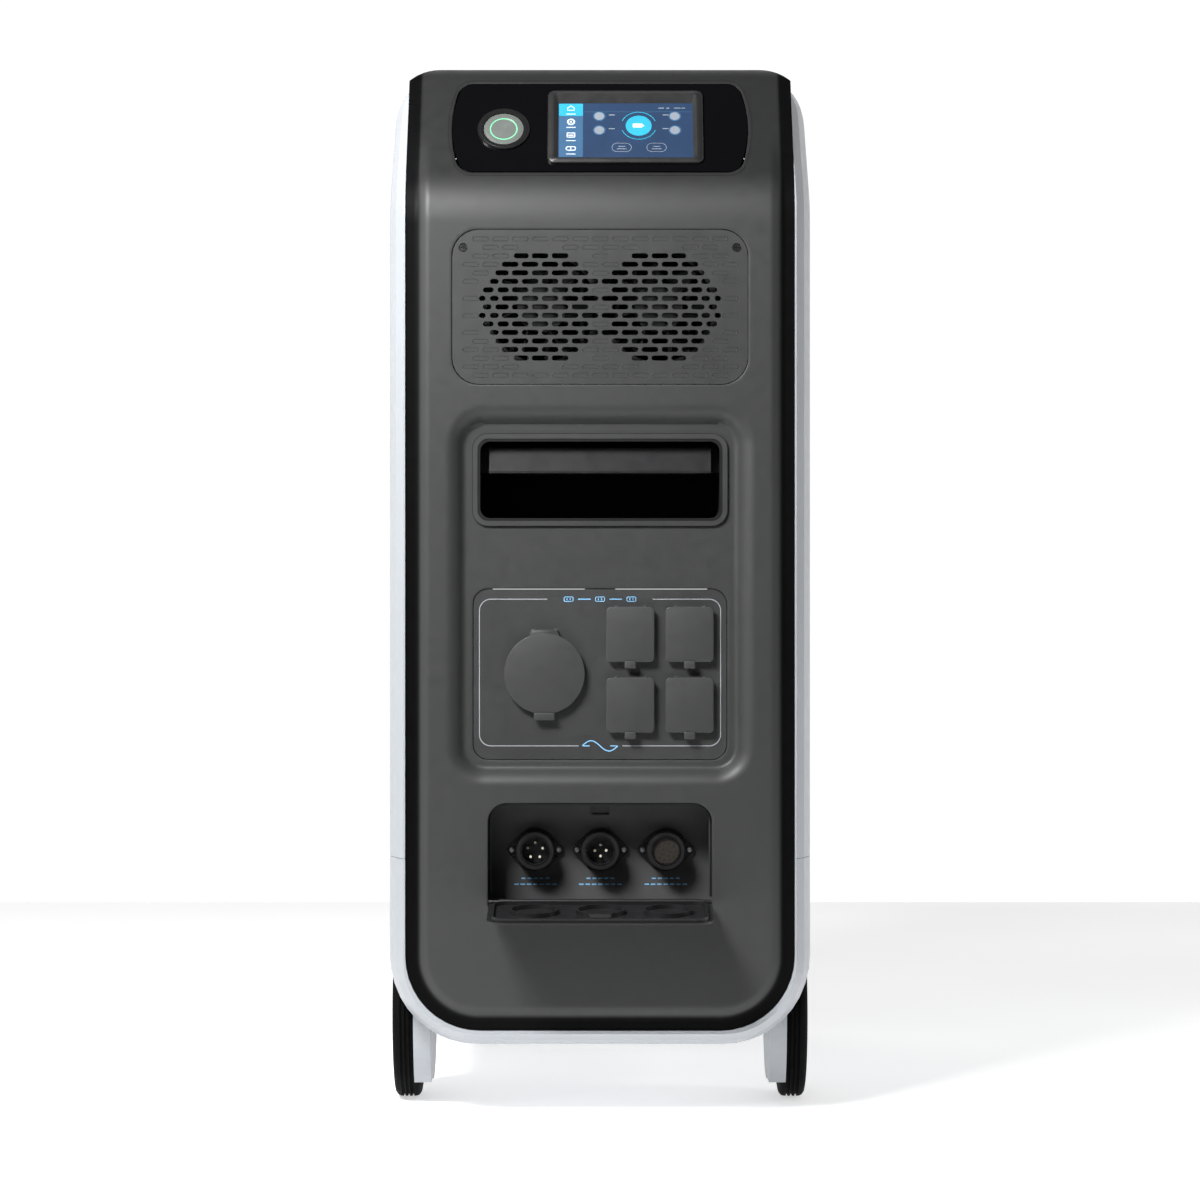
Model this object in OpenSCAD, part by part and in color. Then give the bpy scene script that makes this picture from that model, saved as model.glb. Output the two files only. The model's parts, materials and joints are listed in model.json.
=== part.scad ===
// Home power station tower: a battery and inverter in a tall casing on wheels.
// Millimetres. +X is to the right seen from the front, the front faces -Y, +Z is up.
// The origin is on the floor under the middle of the object, with the input flap open.

/* [Body] */
// Width of the casing across the side panels
body_w = 300; // [290:2:320]
// Depth of the casing from the front face to the rear cover
body_d = 564; // [540:4:600]
// Height of the casing above the floor
body_h = 742; // [735:1:760]
// Height of the underside above the floor
floor_gap = 45; // [42:1:50]
// Radius of the two lower corners of the casing
corner_r = 63; // [55:1:66]
// Radius of the two upper shoulders of the casing
shoulder_r = 38; // [34:1:40]
// Wall thickness of the plastic shells
wall = 3; // [2.5:0.5:3.5]
// Height of the joint between the side panels and the base shell
seam_z = 180; // [176:2:184]

/* [Front] */
// Width of the black front face
face_w = 272; // [264:2:276]
// Height of the lower edge of the front face
face_low_z = 60; // [58:1:64]
// Radius of the lower corners of the front face
face_corner_r = 52; // [48:1:54]
// Angle of the control section, leaning back from the vertical
slant = 33; // [30:1:35]
// Depth of the wide recess in the front face
recess_d = 9; // [6:1:10]

/* [Covers and flap] */
// Angle that a socket cover opens to
cover_open = 100; // [90:5:100]
// Angle between the closed flap and the open one
flap_open = 97; // [90:1:100]
// Height of the flap from its hinge to its tip
flap_h = 68; // [60:1:68]

/* [Wheels] */
// Radius of a front wheel
wheel_r = 63.5; // [60:0.5:64]
// Width of a front wheel
wheel_w = 19; // [16:1:20]
// Distance of the front axle behind the front face
axle_back = 115; // [105:1:125]
// Radius of a caster wheel
caster_r = 37.5; // [35:0.5:38]

/* [Hidden] */

gap = 0.3;                       // clearance between neighbouring pieces
flap_reach = 66;                 // how far the open flap stands out
front_y = -(body_d + flap_reach) / 2 + flap_reach;
rear_y = front_y + body_d;
round_fn = 48;

// ---------- outlines ----------
function arc(c, r, a0, a1, n) =
  [for (i = [0:n]) let (a = a0 + (a1 - a0) * i / n) [c[0] + r * cos(a), c[1] + r * sin(a)]];
function both_sides(half) =
  concat(half, [for (i = [len(half) - 1:-1:0]) [-half[i][0], half[i][1]]]);

// Rounded rectangle between two corners
function rounded(x0, z0, x1, z1, r, n = 6) = concat(
  arc([x1 - r, z0 + r], r, -90, 0, n), arc([x1 - r, z1 - r], r, 0, 90, n),
  arc([x0 + r, z1 - r], r, 90, 180, n), arc([x0 + r, z0 + r], r, 180, 270, n));

// Front view of the casing, set in by t, and by a further s at the sides and below
shoulder_w = body_w / 2 - 2;
function body_outline(t, s = 0) = both_sides(concat(
  arc([body_w / 2 - corner_r, floor_gap + corner_r], corner_r - t - s, -90, 0, 10),
  [[body_w / 2 - t - s, body_h - shoulder_r - 64]],
  arc([shoulder_w - shoulder_r - s, body_h - shoulder_r], shoulder_r - t, 0, 90, 11)));

// Front view of the black front face, set in by t
module face_outline(t) intersection() {
  polygon(both_sides(concat(
    arc([face_w / 2 - face_corner_r, face_low_z + face_corner_r], face_corner_r - t, -90, 0, 10),
    [[face_w / 2 - t, body_h + 1]])));
  polygon(body_outline(max(t, 0)));
}

// Side view of the front, set in by t: upright, then leaning back, then rounded into the top
lean_r = 60;
crown_r = 24;
lean_z = body_h - 117;
lean_top_z = body_h - 11;
lean_len = (lean_top_z - lean_z - lean_r * sin(slant)) / cos(slant);
lean_start = [lean_r * (1 - cos(slant)), lean_z + lean_r * sin(slant)];
lean_end = lean_start + lean_len * [sin(slant), cos(slant)];
crown_c = [lean_end[0] + crown_r * cos(slant), body_h - crown_r];
crown_y = front_y + crown_c[0];
function side_outline(t) = concat(
  [[front_y + t, floor_gap - 2]],
  arc([front_y + lean_r, lean_z], lean_r - t, 180, 180 - slant, 6),
  arc([front_y + crown_c[0], crown_c[1]], crown_r - t, 180 - slant, 90, 4),
  [[rear_y - t, body_h - t], [rear_y - t, floor_gap - 2]]);

// Extrusions along the three axes
module along_y(y0, y1) translate([0, y1, 0]) rotate([90, 0, 0]) linear_extrude(y1 - y0) children();
module along_x(x0, x1) translate([x0, 0, 0]) rotate([90, 0, 90]) linear_extrude(x1 - x0) children();
module rod_x(x0, x1, r) translate([x0, 0, 0]) rotate([0, 90, 0])
  cylinder(h = x1 - x0, r = r, $fn = round_fn);
module rod_y(y0, y1, r) translate([0, y1, 0]) rotate([90, 0, 0])
  cylinder(h = y1 - y0, r = r, $fn = round_fn);
module side_region(t) along_x(-200, 200) polygon(side_outline(t));

// Where the leaning control section lies: x across, y up the slope, z out of it
module on_slope() translate([0, front_y + lean_start[0], lean_start[1]])
  rotate([90 - slant, 0, 0]) children();

// ---------- places on the front ----------
face_block_d = 24;                               // how far the front cover reaches back
recess_y = front_y + recess_d;                   // floor of the wide recess
recess_x = 102;
recess_z = [238, 489];
fan_x = 41;
fan_z = 565.7;
grille_x = 103.2;
grille_z = [511.8, 619.6];
grille_r = 18.6;
pocket_x = 85.4;
pocket_z = [416.8, 473.6];
pocket_rim = 4.2;
pocket_d = 78;
outlet_x = 88.6;
outlet_z = [249.4, 368.5];
outlet_r = 10.5;
tray_x = 78;
tray_z = [146.2, 218.8];
tray_d = 38;
tray_floor = 143;
slope_x = 104.3;
slope_v = [4.4, 84.8];
button_at = [-68.1, 42.2];
display_at = [-37, 11, 72.8, 77];
screen_at = [-29, 16.4, 65.2, 65.1];
screw_x = 95.6;                                  // grille screws, on both sides
screw_z = grille_z[1] - 12.5;

// Outline of the control panel, set in by t: flat above and below, bulging at the sides
panel_r = 9;
panel_bulge = 5.4;
panel_turn = 19;                                 // angle of the side where its corner starts
panel_mid = (slope_v[0] + slope_v[1]) / 2;
corner_v = (slope_v[1] - slope_v[0]) / 2 - panel_r;
corner_x = slope_x - panel_bulge - panel_r * cos(panel_turn);
side_reach = corner_v + panel_r * sin(panel_turn);
function panel_outline(t) = both_sides(concat(
  arc([corner_x, panel_mid - corner_v], panel_r - t, -90, -panel_turn, 5),
  [for (i = [-5:5]) let (f = i / 6) [slope_x - t - panel_bulge * f * f, panel_mid + f * side_reach]],
  arc([corner_x, panel_mid + corner_v], panel_r - t, panel_turn, 90, 5)));

module front_block(t, y1) intersection() {
  along_y(front_y - 1, y1) face_outline(t);
  side_region(t);
}

module front_cover() color("#2b2c2e") difference() {
  union() {
    difference() {
      front_block(0, crown_y);
      front_block(wall, crown_y + 1);
      side_region(face_block_d);
    }
    along_y(front_y + 1, recess_y + wall)
      polygon(rounded(-recess_x - 3, recess_z[0] - 3, recess_x + 3, recess_z[1] + 3, 24));
    along_y(front_y + 1, front_y + 6)
      polygon(rounded(-grille_x - 4, grille_z[0] - 4, grille_x + 4, grille_z[1] + 4, grille_r + 4));
    on_slope() translate([0, 0, -6]) linear_extrude(4)
      polygon(rounded(-slope_x - 3, slope_v[0] + 1, slope_x + 3, slope_v[1] + 2, 12));
  }
  along_y(front_y - 1, recess_y)
    polygon(rounded(-recess_x, recess_z[0], recess_x, recess_z[1], 21));
  along_y(front_y - 1, front_y + 2.6)
    polygon(rounded(-grille_x - gap, grille_z[0] - gap, grille_x + gap, grille_z[1] + gap, grille_r));
  difference() {
    along_y(front_y, front_y + 8)
      polygon(rounded(-grille_x + 6, grille_z[0] + 6, grille_x - 6, grille_z[1] - 6, grille_r - 6));
    at_grille_screws() rod_y(front_y - 1, front_y + 9, 4.5);
  }
  at_grille_screws() rod_y(front_y - 1, front_y + 9, 1.5);
  along_y(front_y, recess_y + 8)
    polygon(rounded(-pocket_x - 1.3, pocket_z[0] - 1.3, pocket_x + 1.3, pocket_z[1] + 1.3, 9));
  along_y(front_y, recess_y + 8)
    polygon(rounded(-outlet_x - gap, outlet_z[0] - gap, outlet_x + gap, outlet_z[1] + gap, outlet_r));
  along_y(front_y - 1, front_y + 8) input_opening(gap);
  for (side = [-1, 1]) translate([0, flap_y, flap_z])
    rod_x(side * 79 - 2, side * 79 + 2, flap_pin_r + 0.1);
  on_slope() translate([0, 0, -2.4]) linear_extrude(10) polygon(panel_outline(-gap));
  on_slope() translate([0, 0, -8]) linear_extrude(10)
    polygon(rounded(-slope_x + 9, slope_v[0] + 5, slope_x - 9, slope_v[1] - 5, 6));
}

module at_grille_screws() for (side = [-1, 1]) translate([side * screw_x, 0, screw_z]) children();

// Opening of the input compartment: square below, rounded above
module input_opening(t) polygon(concat(
  [[-tray_x - t, tray_z[0] - t], [tray_x + t, tray_z[0] - t]],
  arc([tray_x - 13, tray_z[1] - 13], 13 + t, 0, 90, 6),
  arc([-tray_x + 13, tray_z[1] - 13], 13 + t, 90, 180, 6)));

// ---------- control section ----------
module control_panel() color("#08090a") on_slope() difference() {
  translate([0, 0, -2.3]) linear_extrude(2.9) polygon(panel_outline(0));
  translate([button_at[0], button_at[1], -5]) cylinder(h = 10, r = 16.5, $fn = round_fn);
  translate([0, 0, -5]) linear_extrude(10) polygon(rounded(
    display_at[0] + 3, display_at[1] + 3, display_at[2] - 3, display_at[3] - 3, 3));
}

module display_bezel() color("#0c0d0e") on_slope() difference() {
  union() {
    translate([0, 0, 0.7]) linear_extrude(1.6)
      polygon(rounded(display_at[0], display_at[1], display_at[2], display_at[3], 5));
    translate([0, 0, -6]) linear_extrude(7) polygon(rounded(
      display_at[0] + 3.2, display_at[1] + 3.2, display_at[2] - 3.2, display_at[3] - 3.2, 2.8));
  }
  translate([0, 0, 0.9]) linear_extrude(3)
    polygon(rounded(screen_at[0] - 3, screen_at[1] - 2, screen_at[2] + 3, screen_at[3] + 3, 2));
  translate([0, 0, -7]) linear_extrude(10)
    polygon(rounded(screen_at[0] + 2, screen_at[1] + 2, screen_at[2] - 2, screen_at[3] - 2, 1));
}

module display_screen() color("#102c4c") on_slope() translate([0, 0, 0.95]) linear_extrude(0.9)
  polygon(rounded(screen_at[0] - 2.7, screen_at[1] - 1.7, screen_at[2] + 2.7, screen_at[3] + 2.7, 1.8));

module at_button(z) on_slope() translate([button_at[0], button_at[1], z]) children();

module button_bezel() color("#17181a") difference() {
  union() {
    at_button(0.7) cylinder(h = 1.2, r = 18.4, $fn = round_fn);
    at_button(-9) cylinder(h = 10, r = 16.2, $fn = round_fn);
  }
  at_button(-7) cylinder(h = 12, r = 14.3, $fn = round_fn);
  at_button(-12) cylinder(h = 12, r = 5.3, $fn = round_fn);
}

module power_button() color("#8d9092") difference() {
  union() {
    at_button(-1.6) cylinder(h = 3, r = 14, $fn = round_fn);
    at_button(-12) cylinder(h = 11, r = 5, $fn = round_fn);
  }
  at_button(0.8) ring(8.9, 10.3, 2);
}

module ring(r_in, r_out, h) difference() {
  cylinder(h = h, r = r_out, $fn = round_fn);
  translate([0, 0, -1]) cylinder(h = h + 2, r = r_in, $fn = round_fn);
}

module button_light_ring() color("#59c08a") at_button(0.8) ring(8.95, 10.25, 0.7);

// ---------- fans ----------
slot_w = 11.6;
slot_h = 3.6;
slot_pitch = 13.95;
row_pitch = 5.95;
// Slots of rows 0 to 6, counted from the middle row, on one side of the plate: the place of the
// first full slot in pitches, the number of full slots, and [centre, width] of each short slot
slot_rows = [
  [1, 4, [[68.4, 9.4], [78.8, 5.9]]],
  [0.5, 5, [[73.8, 6.1], [82.2, 4.6]]],
  [1, 4, [[67.6, 7.9], [78, 7.5]]],
  [0.5, 5, [[73.8, 6.1]]],
  [1, 4, [[68.4, 9.4]]],
  [1.5, 4, []],
  [2, 2, [[55, 10.4]]],
];

module slot(x, z, w) along_y(front_y - 1, front_y + 5)
  polygon(rounded(x - w / 2, z - slot_h / 2, x + w / 2, z + slot_h / 2, slot_h / 2 - 0.01, 3));

module fan_grille() color("#3a3b3e") difference() {
  along_y(front_y, front_y + 2.4)
    polygon(rounded(-grille_x, grille_z[0], grille_x, grille_z[1], grille_r));
  for (side = [-1, 1], row = [-6:6]) {
    pattern = slot_rows[abs(row)];
    z = fan_z + row * row_pitch;
    for (i = [0:pattern[1] - 1]) slot(side * (pattern[0] + i) * slot_pitch, z, slot_w);
    for (short = pattern[2]) slot(side * short[0], z, short[1]);
  }
  at_grille_screws() {
    rod_y(front_y - 1, front_y + 1.5, 3.1);
    rod_y(front_y, front_y + 5, 1.6);
  }
}

// Screws sunk in the grille's plate
module grille_screws() at_grille_screws() difference() {
  union() {
    rod_y(front_y + 0.6, front_y + 1.5, 2.6);
    rod_y(front_y + 1.4, front_y + 5, 1.5);
  }
  translate([0, front_y + 0.6, 0]) cube([0.6, 1, 3.4], center = true);
  translate([0, front_y + 0.6, 0]) cube([3.4, 1, 0.6], center = true);
}

fan_front = front_y + 8;
module fan_frames() color("#222325") for (side = [-1, 1]) translate([side * fan_x, 0, fan_z]) {
  difference() {
    along_y(fan_front, fan_front + 25) polygon(rounded(-40, -40, 40, 40, 4));
    rod_y(fan_front - 1, fan_front + 26, 38);
    for (x = [-35.7, 35.7], z = [-35.7, 35.7])
      translate([x, 0, z]) rod_y(fan_front - 1, fan_front + 26, 2);
  }
  rod_y(fan_front + 20, fan_front + 25, 17);
  rod_y(fan_front + 5, fan_front + 21, 2);
  for (a = [0:90:270]) rotate([0, a + 45, 0])
    translate([15, fan_front + 21, -1.5]) cube([25, 4, 3]);
}

module fan_rotor(side) color("#1c1d1f") translate([side * fan_x, 0, fan_z]) difference() {
  union() {
    rod_y(fan_front + 2, fan_front + 19, 17);
    for (a = [0:360 / 7:359]) rotate([0, a, 0]) translate([15.5, fan_front + 10.5, 0])
      rotate([38, 0, 0]) translate([0, -10, -1]) cube([20, 20, 2]);
  }
  rod_y(fan_front + 4.5, fan_front + 20, 2.15);
  rod_y(fan_front + 16, fan_front + 20, 15);
}
module fan_rotor_left() fan_rotor(-1);
module fan_rotor_right() fan_rotor(1);

// ---------- handle ----------
module handle_liner() color("#141516") difference() {
  union() {
    along_y(recess_y - 1.6, recess_y) polygon(rounded(-pocket_x - pocket_rim,
      pocket_z[0] - pocket_rim, pocket_x + pocket_rim, pocket_z[1] + pocket_rim, 11));
    along_y(recess_y - 0.1, recess_y + pocket_d)
      polygon(rounded(-pocket_x - 1, pocket_z[0] - 1, pocket_x + 1, pocket_z[1] + 1, 8.5));
    along_y(recess_y + 4, recess_y + pocket_d)
      polygon(rounded(-pocket_x - 1, pocket_z[0] + 20, pocket_x + 1, pocket_z[1] + 10, 8.5));
  }
  along_y(recess_y - 3, recess_y + pocket_d - 2.5)
    polygon(rounded(-pocket_x + 1.5, pocket_z[0] + 1.5, pocket_x - 1.5, pocket_z[1] - 1.5, 7));
  along_y(recess_y + 6.5, recess_y + pocket_d - 2.5)
    polygon(rounded(-pocket_x + 1.5, pocket_z[0] + 22.5, pocket_x - 1.5, pocket_z[1] + 7.5, 7));
}

// Bar across the upper half of the pocket, hollowed in front, with a lip below
module handle_grip() color("#4a4b4e") difference() {
  along_y(recess_y + 1.5, recess_y + 30) polygon(
    rounded(-pocket_x + 1.5, pocket_z[0] + 33, pocket_x - 1.5, pocket_z[1] - 4, 7));
  translate([0, recess_y - 9, pocket_z[0] + 46]) rod_x(-79, 79, 17.5);
}

// ---------- mains outlets ----------
outlet_front = recess_y - 0.4;
round_at = [-38.9, 309.5];
round_cover_r = 28.2;
square_at = [[21.2, 336.9], [62.7, 336.9], [21.2, 287.4], [62.7, 287.4]];
square_w = 33.6;
square_h = 38.4;

module outlet_panel() color("#303134") difference() {
  along_y(outlet_front, outlet_front + 3)
    polygon(rounded(-outlet_x, outlet_z[0], outlet_x, outlet_z[1], outlet_r));
  translate([round_at[0], 0, round_at[1]]) rod_y(outlet_front - 1, outlet_front + 4, 20.3);
  for (p = square_at) along_y(outlet_front - 1, outlet_front + 4)
    polygon(rounded(p[0] - 13.3, p[1] - 13.8, p[0] + 13.3, p[1] + 11.8, 3));
}

module round_socket() color("#1b1c1e") translate([round_at[0], 0, round_at[1]]) difference() {
  rod_y(outlet_front + 0.2, outlet_front + 34, 20);
  for (a = [90, 210, 330]) rotate([0, a, 0])
    translate([10, outlet_front + 8, 0]) cube([2.2, 18, 7.4], center = true);
  rod_y(outlet_front - 1, outlet_front + 2, 16.5);
}

module square_sockets() color("#1b1c1e") for (p = square_at) difference() {
  along_y(outlet_front + 0.2, outlet_front + 28)
    polygon(rounded(p[0] - 13, p[1] - 13.5, p[0] + 13, p[1] + 11.5, 2.8));
  for (side = [-1, 1]) translate([p[0] + side * 6.2, outlet_front + 8, p[1] + 3])
    cube([1.8, 18, side < 0 ? 8.4 : 7], center = true);
  translate([p[0], 0, p[1] - 7]) rod_y(outlet_front - 1, outlet_front + 17, 2.5);
}

// Hinges of the outlet covers: a pin in a knuckle, with a lug at each end
pin_r = 0.75;
knuckle_r = 1.45;
cover_hinge_y = outlet_front - knuckle_r - gap;
cover_skin = [outlet_front - 4.9, outlet_front - 3.5];
square_axis_z = square_h / 2 - 0.9;
round_axis_z = 29.4;
module hinge_pin(x, z, half) translate([x, cover_hinge_y, z]) {
  rod_x(-half - 3, half + 3, pin_r);
  for (side = [-1, 1]) translate([side * (half + 1.8), 0, 0]) {
    rod_x(-1.3, 1.3, knuckle_r);
    translate([-1.3, 0, -knuckle_r]) cube([2.6, knuckle_r + gap, 2 * knuckle_r]);
  }
}

module cover_hinge_pins() color("#6d6f72") {
  hinge_pin(round_at[0], round_at[1] + round_axis_z, 6);
  for (p = square_at) hinge_pin(p[0], p[1] + square_axis_z, 8);
}

// Knuckle and web of one cover, about its hinge axis
module knuckle(half) difference() {
  union() {
    translate([0, cover_hinge_y, 0]) rod_x(-half, half, knuckle_r);
    translate([-half, cover_skin[1] - 0.1, -knuckle_r - 0.6])
      cube([2 * half, cover_hinge_y - cover_skin[1], knuckle_r + 0.6]);
  }
  translate([0, cover_hinge_y, 0]) rod_x(-half - 1, half + 1, pin_r + 0.1);
}

module square_cover(p) color("#3d3e41") translate([p[0], 0, p[1]]) {
  along_y(cover_skin[0], cover_skin[1])
    polygon(rounded(-square_w / 2, -square_h / 2, square_w / 2, square_h / 2, 3.2));
  along_y(cover_skin[1] - 0.1, outlet_front - gap)
    polygon(rounded(-square_w / 2 + 1, -square_h / 2 + 1, square_w / 2 - 1, square_h / 2 - 6, 2));
  along_y(cover_skin[0], cover_skin[1])
    polygon(rounded(-4, -square_h / 2 - 4.6, 4, -square_h / 2 + 1, 1.2, 3));
  translate([0, 0, square_axis_z]) knuckle(8);
}
module square_cover_1() square_cover(square_at[0]);
module square_cover_2() square_cover(square_at[1]);
module square_cover_3() square_cover(square_at[2]);
module square_cover_4() square_cover(square_at[3]);

module round_cover() color("#3d3e41") translate([round_at[0], 0, round_at[1]]) {
  rod_y(cover_skin[0], cover_skin[1], round_cover_r);
  rod_y(cover_skin[1] - 0.1, outlet_front - gap, 25.6);
  along_y(cover_skin[0], cover_skin[1])
    polygon([[-11.4, 24], [11.4, 24], [8.8, 30.3], [-8.8, 30.3]]);
  along_y(cover_skin[0], cover_skin[1]) polygon(rounded(-7.4, -32.6, 7.4, -26, 1.4, 3));
  translate([0, 0, round_axis_z]) knuckle(6);
}

// ---------- input compartment ----------
connector_x = [-45.7, 0.3, 46.6];
connector_z = 184.4;
shell_r = 13;
bore_r = 9.4;
flange_y = front_y + tray_d - 2;      // front surface of the tray's back wall
flange_screw_x = 16.7;
shell_front = flange_y - 17;

module input_tray() color("#1f2022") difference() {
  along_y(front_y + wall, front_y + tray_d) tray_outline(3.5);
  along_y(front_y, flange_y) tray_outline(0.8);
  for (x = connector_x) translate([x, 0, connector_z]) {
    rod_y(flange_y - 1, flange_y + 4, shell_r + 0.3);
    for (side = [-1, 1]) translate([side * flange_screw_x, 0, 0]) rod_y(flange_y - 1, flange_y + 4, 1.3);
  }
  for (side = [-1, 1]) translate([0, flap_y, flap_z])
    rod_x(side * 76 - 5, side * 76 + 5, flap_pin_r);
}
module tray_outline(t) polygon(concat(
  [[-tray_x - t, tray_floor - t], [tray_x + t, tray_floor - t]],
  arc([tray_x - 13, tray_z[1] - 13], 13 + t, 0, 90, 6),
  arc([-tray_x + 13, tray_z[1] - 13], 13 + t, 90, 180, 6)));

// Flange, threaded shell and insulating insert of a round bulkhead connector
module connector(x, contacts, ring_of) translate([x, 0, connector_z]) difference() {
  union() {
    rod_y(shell_front, flange_y + 14, shell_r);
    hull() {
      rod_y(flange_y - 2.4, flange_y, 15);
      for (side = [-1, 1]) translate([side * flange_screw_x, 0, 0]) rod_y(flange_y - 2.4, flange_y, 3.2);
    }
  }
  rod_y(shell_front - 1, flange_y - 4, bore_r);
  rod_y(flange_y + 1, flange_y + 15, bore_r + 1);
  for (a = contact_angles(contacts)) rotate([0, a, 0]) translate([ring_of, 0, 0])
    rod_y(flange_y - 5, flange_y + 2, 0.9);
  for (side = [-1, 1]) translate([side * flange_screw_x, 0, 0]) rod_y(flange_y - 4, flange_y + 2, 1.25);
}
function contact_angles(n) = [for (i = [0:n - 1]) 360 * i / n - 90];
module ac_input_connector() color("#1b1c1e") connector(connector_x[0], 5, 5.5);
module dc_input_connector() color("#1b1c1e") connector(connector_x[1], 4, 4);
module data_connector() color("#1b1c1e") connector(connector_x[2], 8, 6.2);

module connector_contacts() color("#c9a24a")
  for (set = [[0, 5, 5.5, 11], [1, 4, 4, 11], [2, 8, 6.2, 4]])
    translate([connector_x[set[0]], 0, connector_z])
      for (a = contact_angles(set[1])) rotate([0, a, 0]) translate([set[2], 0, 0])
        rod_y(flange_y - set[3], flange_y + 6, 0.9);

module connector_screws() for (x = connector_x, side = [-1, 1])
  translate([x + side * flange_screw_x, 0, connector_z]) difference() {
    union() {
      rod_y(flange_y - 3.9, flange_y - 2.4, 2);
      rod_y(flange_y - 2.5, flange_y + 6, 1.25);
    }
    translate([0, flange_y - 3.9, 0]) cube([0.7, 1.4, 3], center = true);
    translate([0, flange_y - 3.9, 0]) cube([3, 1.4, 0.7], center = true);
  }

module front_screws() color("#4a4c4f") {
  grille_screws();
  connector_screws();
}

// ---------- input flap, drawn closed about its hinge and turned to its open rest ----------
flap_y = front_y + 2.6;
flap_z = 150;
flap_pin_r = 1.5;
flap_side = 70.5;
module input_flap() color("#161719")
  translate([0, flap_y, flap_z]) rotate([flap_open, 0, 0]) difference() {
    union() {
      along_y(-2.5, -0.9) polygon(concat(
        [[-flap_side, -2.2], [flap_side, -2.2], [flap_side, 3], [tray_x - gap, 3]],
        arc([tray_x - 13, flap_h - 12.7], 12.7, 0, 90, 6),
        arc([-tray_x + 13, flap_h - 12.7], 12.7, 90, 180, 6),
        [[-tray_x + gap, 3], [-flap_side, 3]]));
      along_y(-1, 1.6) difference() {
        polygon(rounded(-74.5, 5, 74.5, flap_h - 3, 10));
        polygon(rounded(-73, 6.5, 73, flap_h - 4.5, 8.5));
      }
      for (x = connector_x) translate([x, 0, connector_z - flap_z]) difference() {
        rod_y(-1, 2.2, 17);
        rod_y(-0.9, 3, 15.2);
      }
      along_y(-1, 4.5) polygon(rounded(-8, flap_h - 12, 8, flap_h - 4.2, 2));
      rod_x(-flap_side, flap_side, 2.1);
      translate([-flap_side, -1.6, 0]) cube([2 * flap_side, 2.2, 3.5]);
    }
    rod_x(-80, -flap_side + 7, flap_pin_r + 0.1);
    rod_x(flap_side - 7, 80, flap_pin_r + 0.1);
  }

module flap_hinge_pins() color("#b9bcc0") for (side = [-1, 1])
  translate([0, flap_y, flap_z]) rod_x(side * 72.6 - 7.4, side * 72.6 + 7.4, flap_pin_r);

// ---------- casing ----------
axle_y = front_y + axle_back;
axle_z = wheel_r;
rear_cover_d = 22;
belt_x = face_w / 2;
deep = 136;                                // depth where the shaped front of the casing ends
// The casing swells from the front face to its full width: [depth, inset] of four layers
flare = [[3, 12.5], [13, 6.8], [30, 2.4], [58, 0]];
rear_step = [rear_y - 176, 100];           // raised underside over the casters

module casing(t) {
  hull() for (layer = flare) intersection() {
    along_y(front_y, front_y + deep) polygon(body_outline(t, layer[1]));
    translate([0, layer[0], 0]) side_region(t);
  }
  along_y(front_y + deep - 1, rear_y - rear_cover_d) polygon(body_outline(t));
}

// Space taken by the front cover, with a clearance
module front_space(t) difference() {
  along_y(front_y - 1, crown_y + t) face_outline(-t);
  side_region(face_block_d + t);
}

module casing_shell() difference() {
  casing(0);
  casing(wall);
  front_space(gap);
  translate([-160, rear_y - rear_cover_d, 0]) cube([320, 60, 800]);
}

module side_panel(side) color("#d9dce0") intersection() {
  casing_shell();
  translate([side > 0 ? belt_x + gap : -belt_x - gap - 60, front_y - 5, seam_z + gap])
    cube([60, body_d + 10, 620]);
}
module side_panel_left() side_panel(-1);
module side_panel_right() side_panel(1);

// Straight section of the casing between the front cover and the rear cover
module top_cover() color("#1b1c1e") intersection() {
  difference() {
    along_y(crown_y + gap, rear_y - rear_cover_d) polygon(body_outline(0));
    along_y(crown_y, rear_y) polygon(body_outline(wall));
  }
  translate([-belt_x, front_y, body_h - 60]) cube([2 * belt_x, body_d, 80]);
}

module base_shell() color("#d9dce0") difference() {
  union() {
    intersection() {
      casing_shell();
      translate([-160, front_y - 5, 0]) cube([320, body_d + 10, seam_z]);
    }
    for (side = [-1, 1]) intersection() {
      along_y(front_y + 26, front_y + 220) polygon(body_outline(1));
      translate([0, axle_y, axle_z]) rod_x(side * 138 - 11.4, side * 138 + 11.4, 70);
    }
    intersection() {
      along_y(rear_step[0] - wall, rear_y - rear_cover_d) polygon(body_outline(1));
      translate([-160, rear_step[0] - wall, 0]) cube([320, 200, rear_step[1] + wall]);
    }
  }
  for (side = [-1, 1]) {
    translate([0, axle_y, axle_z]) rod_x(side * 145 - 16.6, side * 145 + 16.6, 67.5);
    translate([side * 123.6 - 2.9, axle_y - 68, 40]) cube([5.8, 120, 36]);
    translate([side * 127.4 - 1.3, axle_y - 68, 40]) cube([2.6, 26, 36]);
    translate([0, axle_y, axle_z]) {
      rod_x(side * 138 - 30, side * 138 + 30, 6.6);
      rod_x(side * 119 - 2.8, side * 119 + 2.8, 13.5);
    }
    translate([side * caster_x, caster_y, rear_step[1] - 1])
      cylinder(h = 20, r = 6.5, $fn = round_fn);
  }
  translate([-170, rear_step[0], -1]) cube([340, 200, rear_step[1] + 1]);
}

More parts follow.
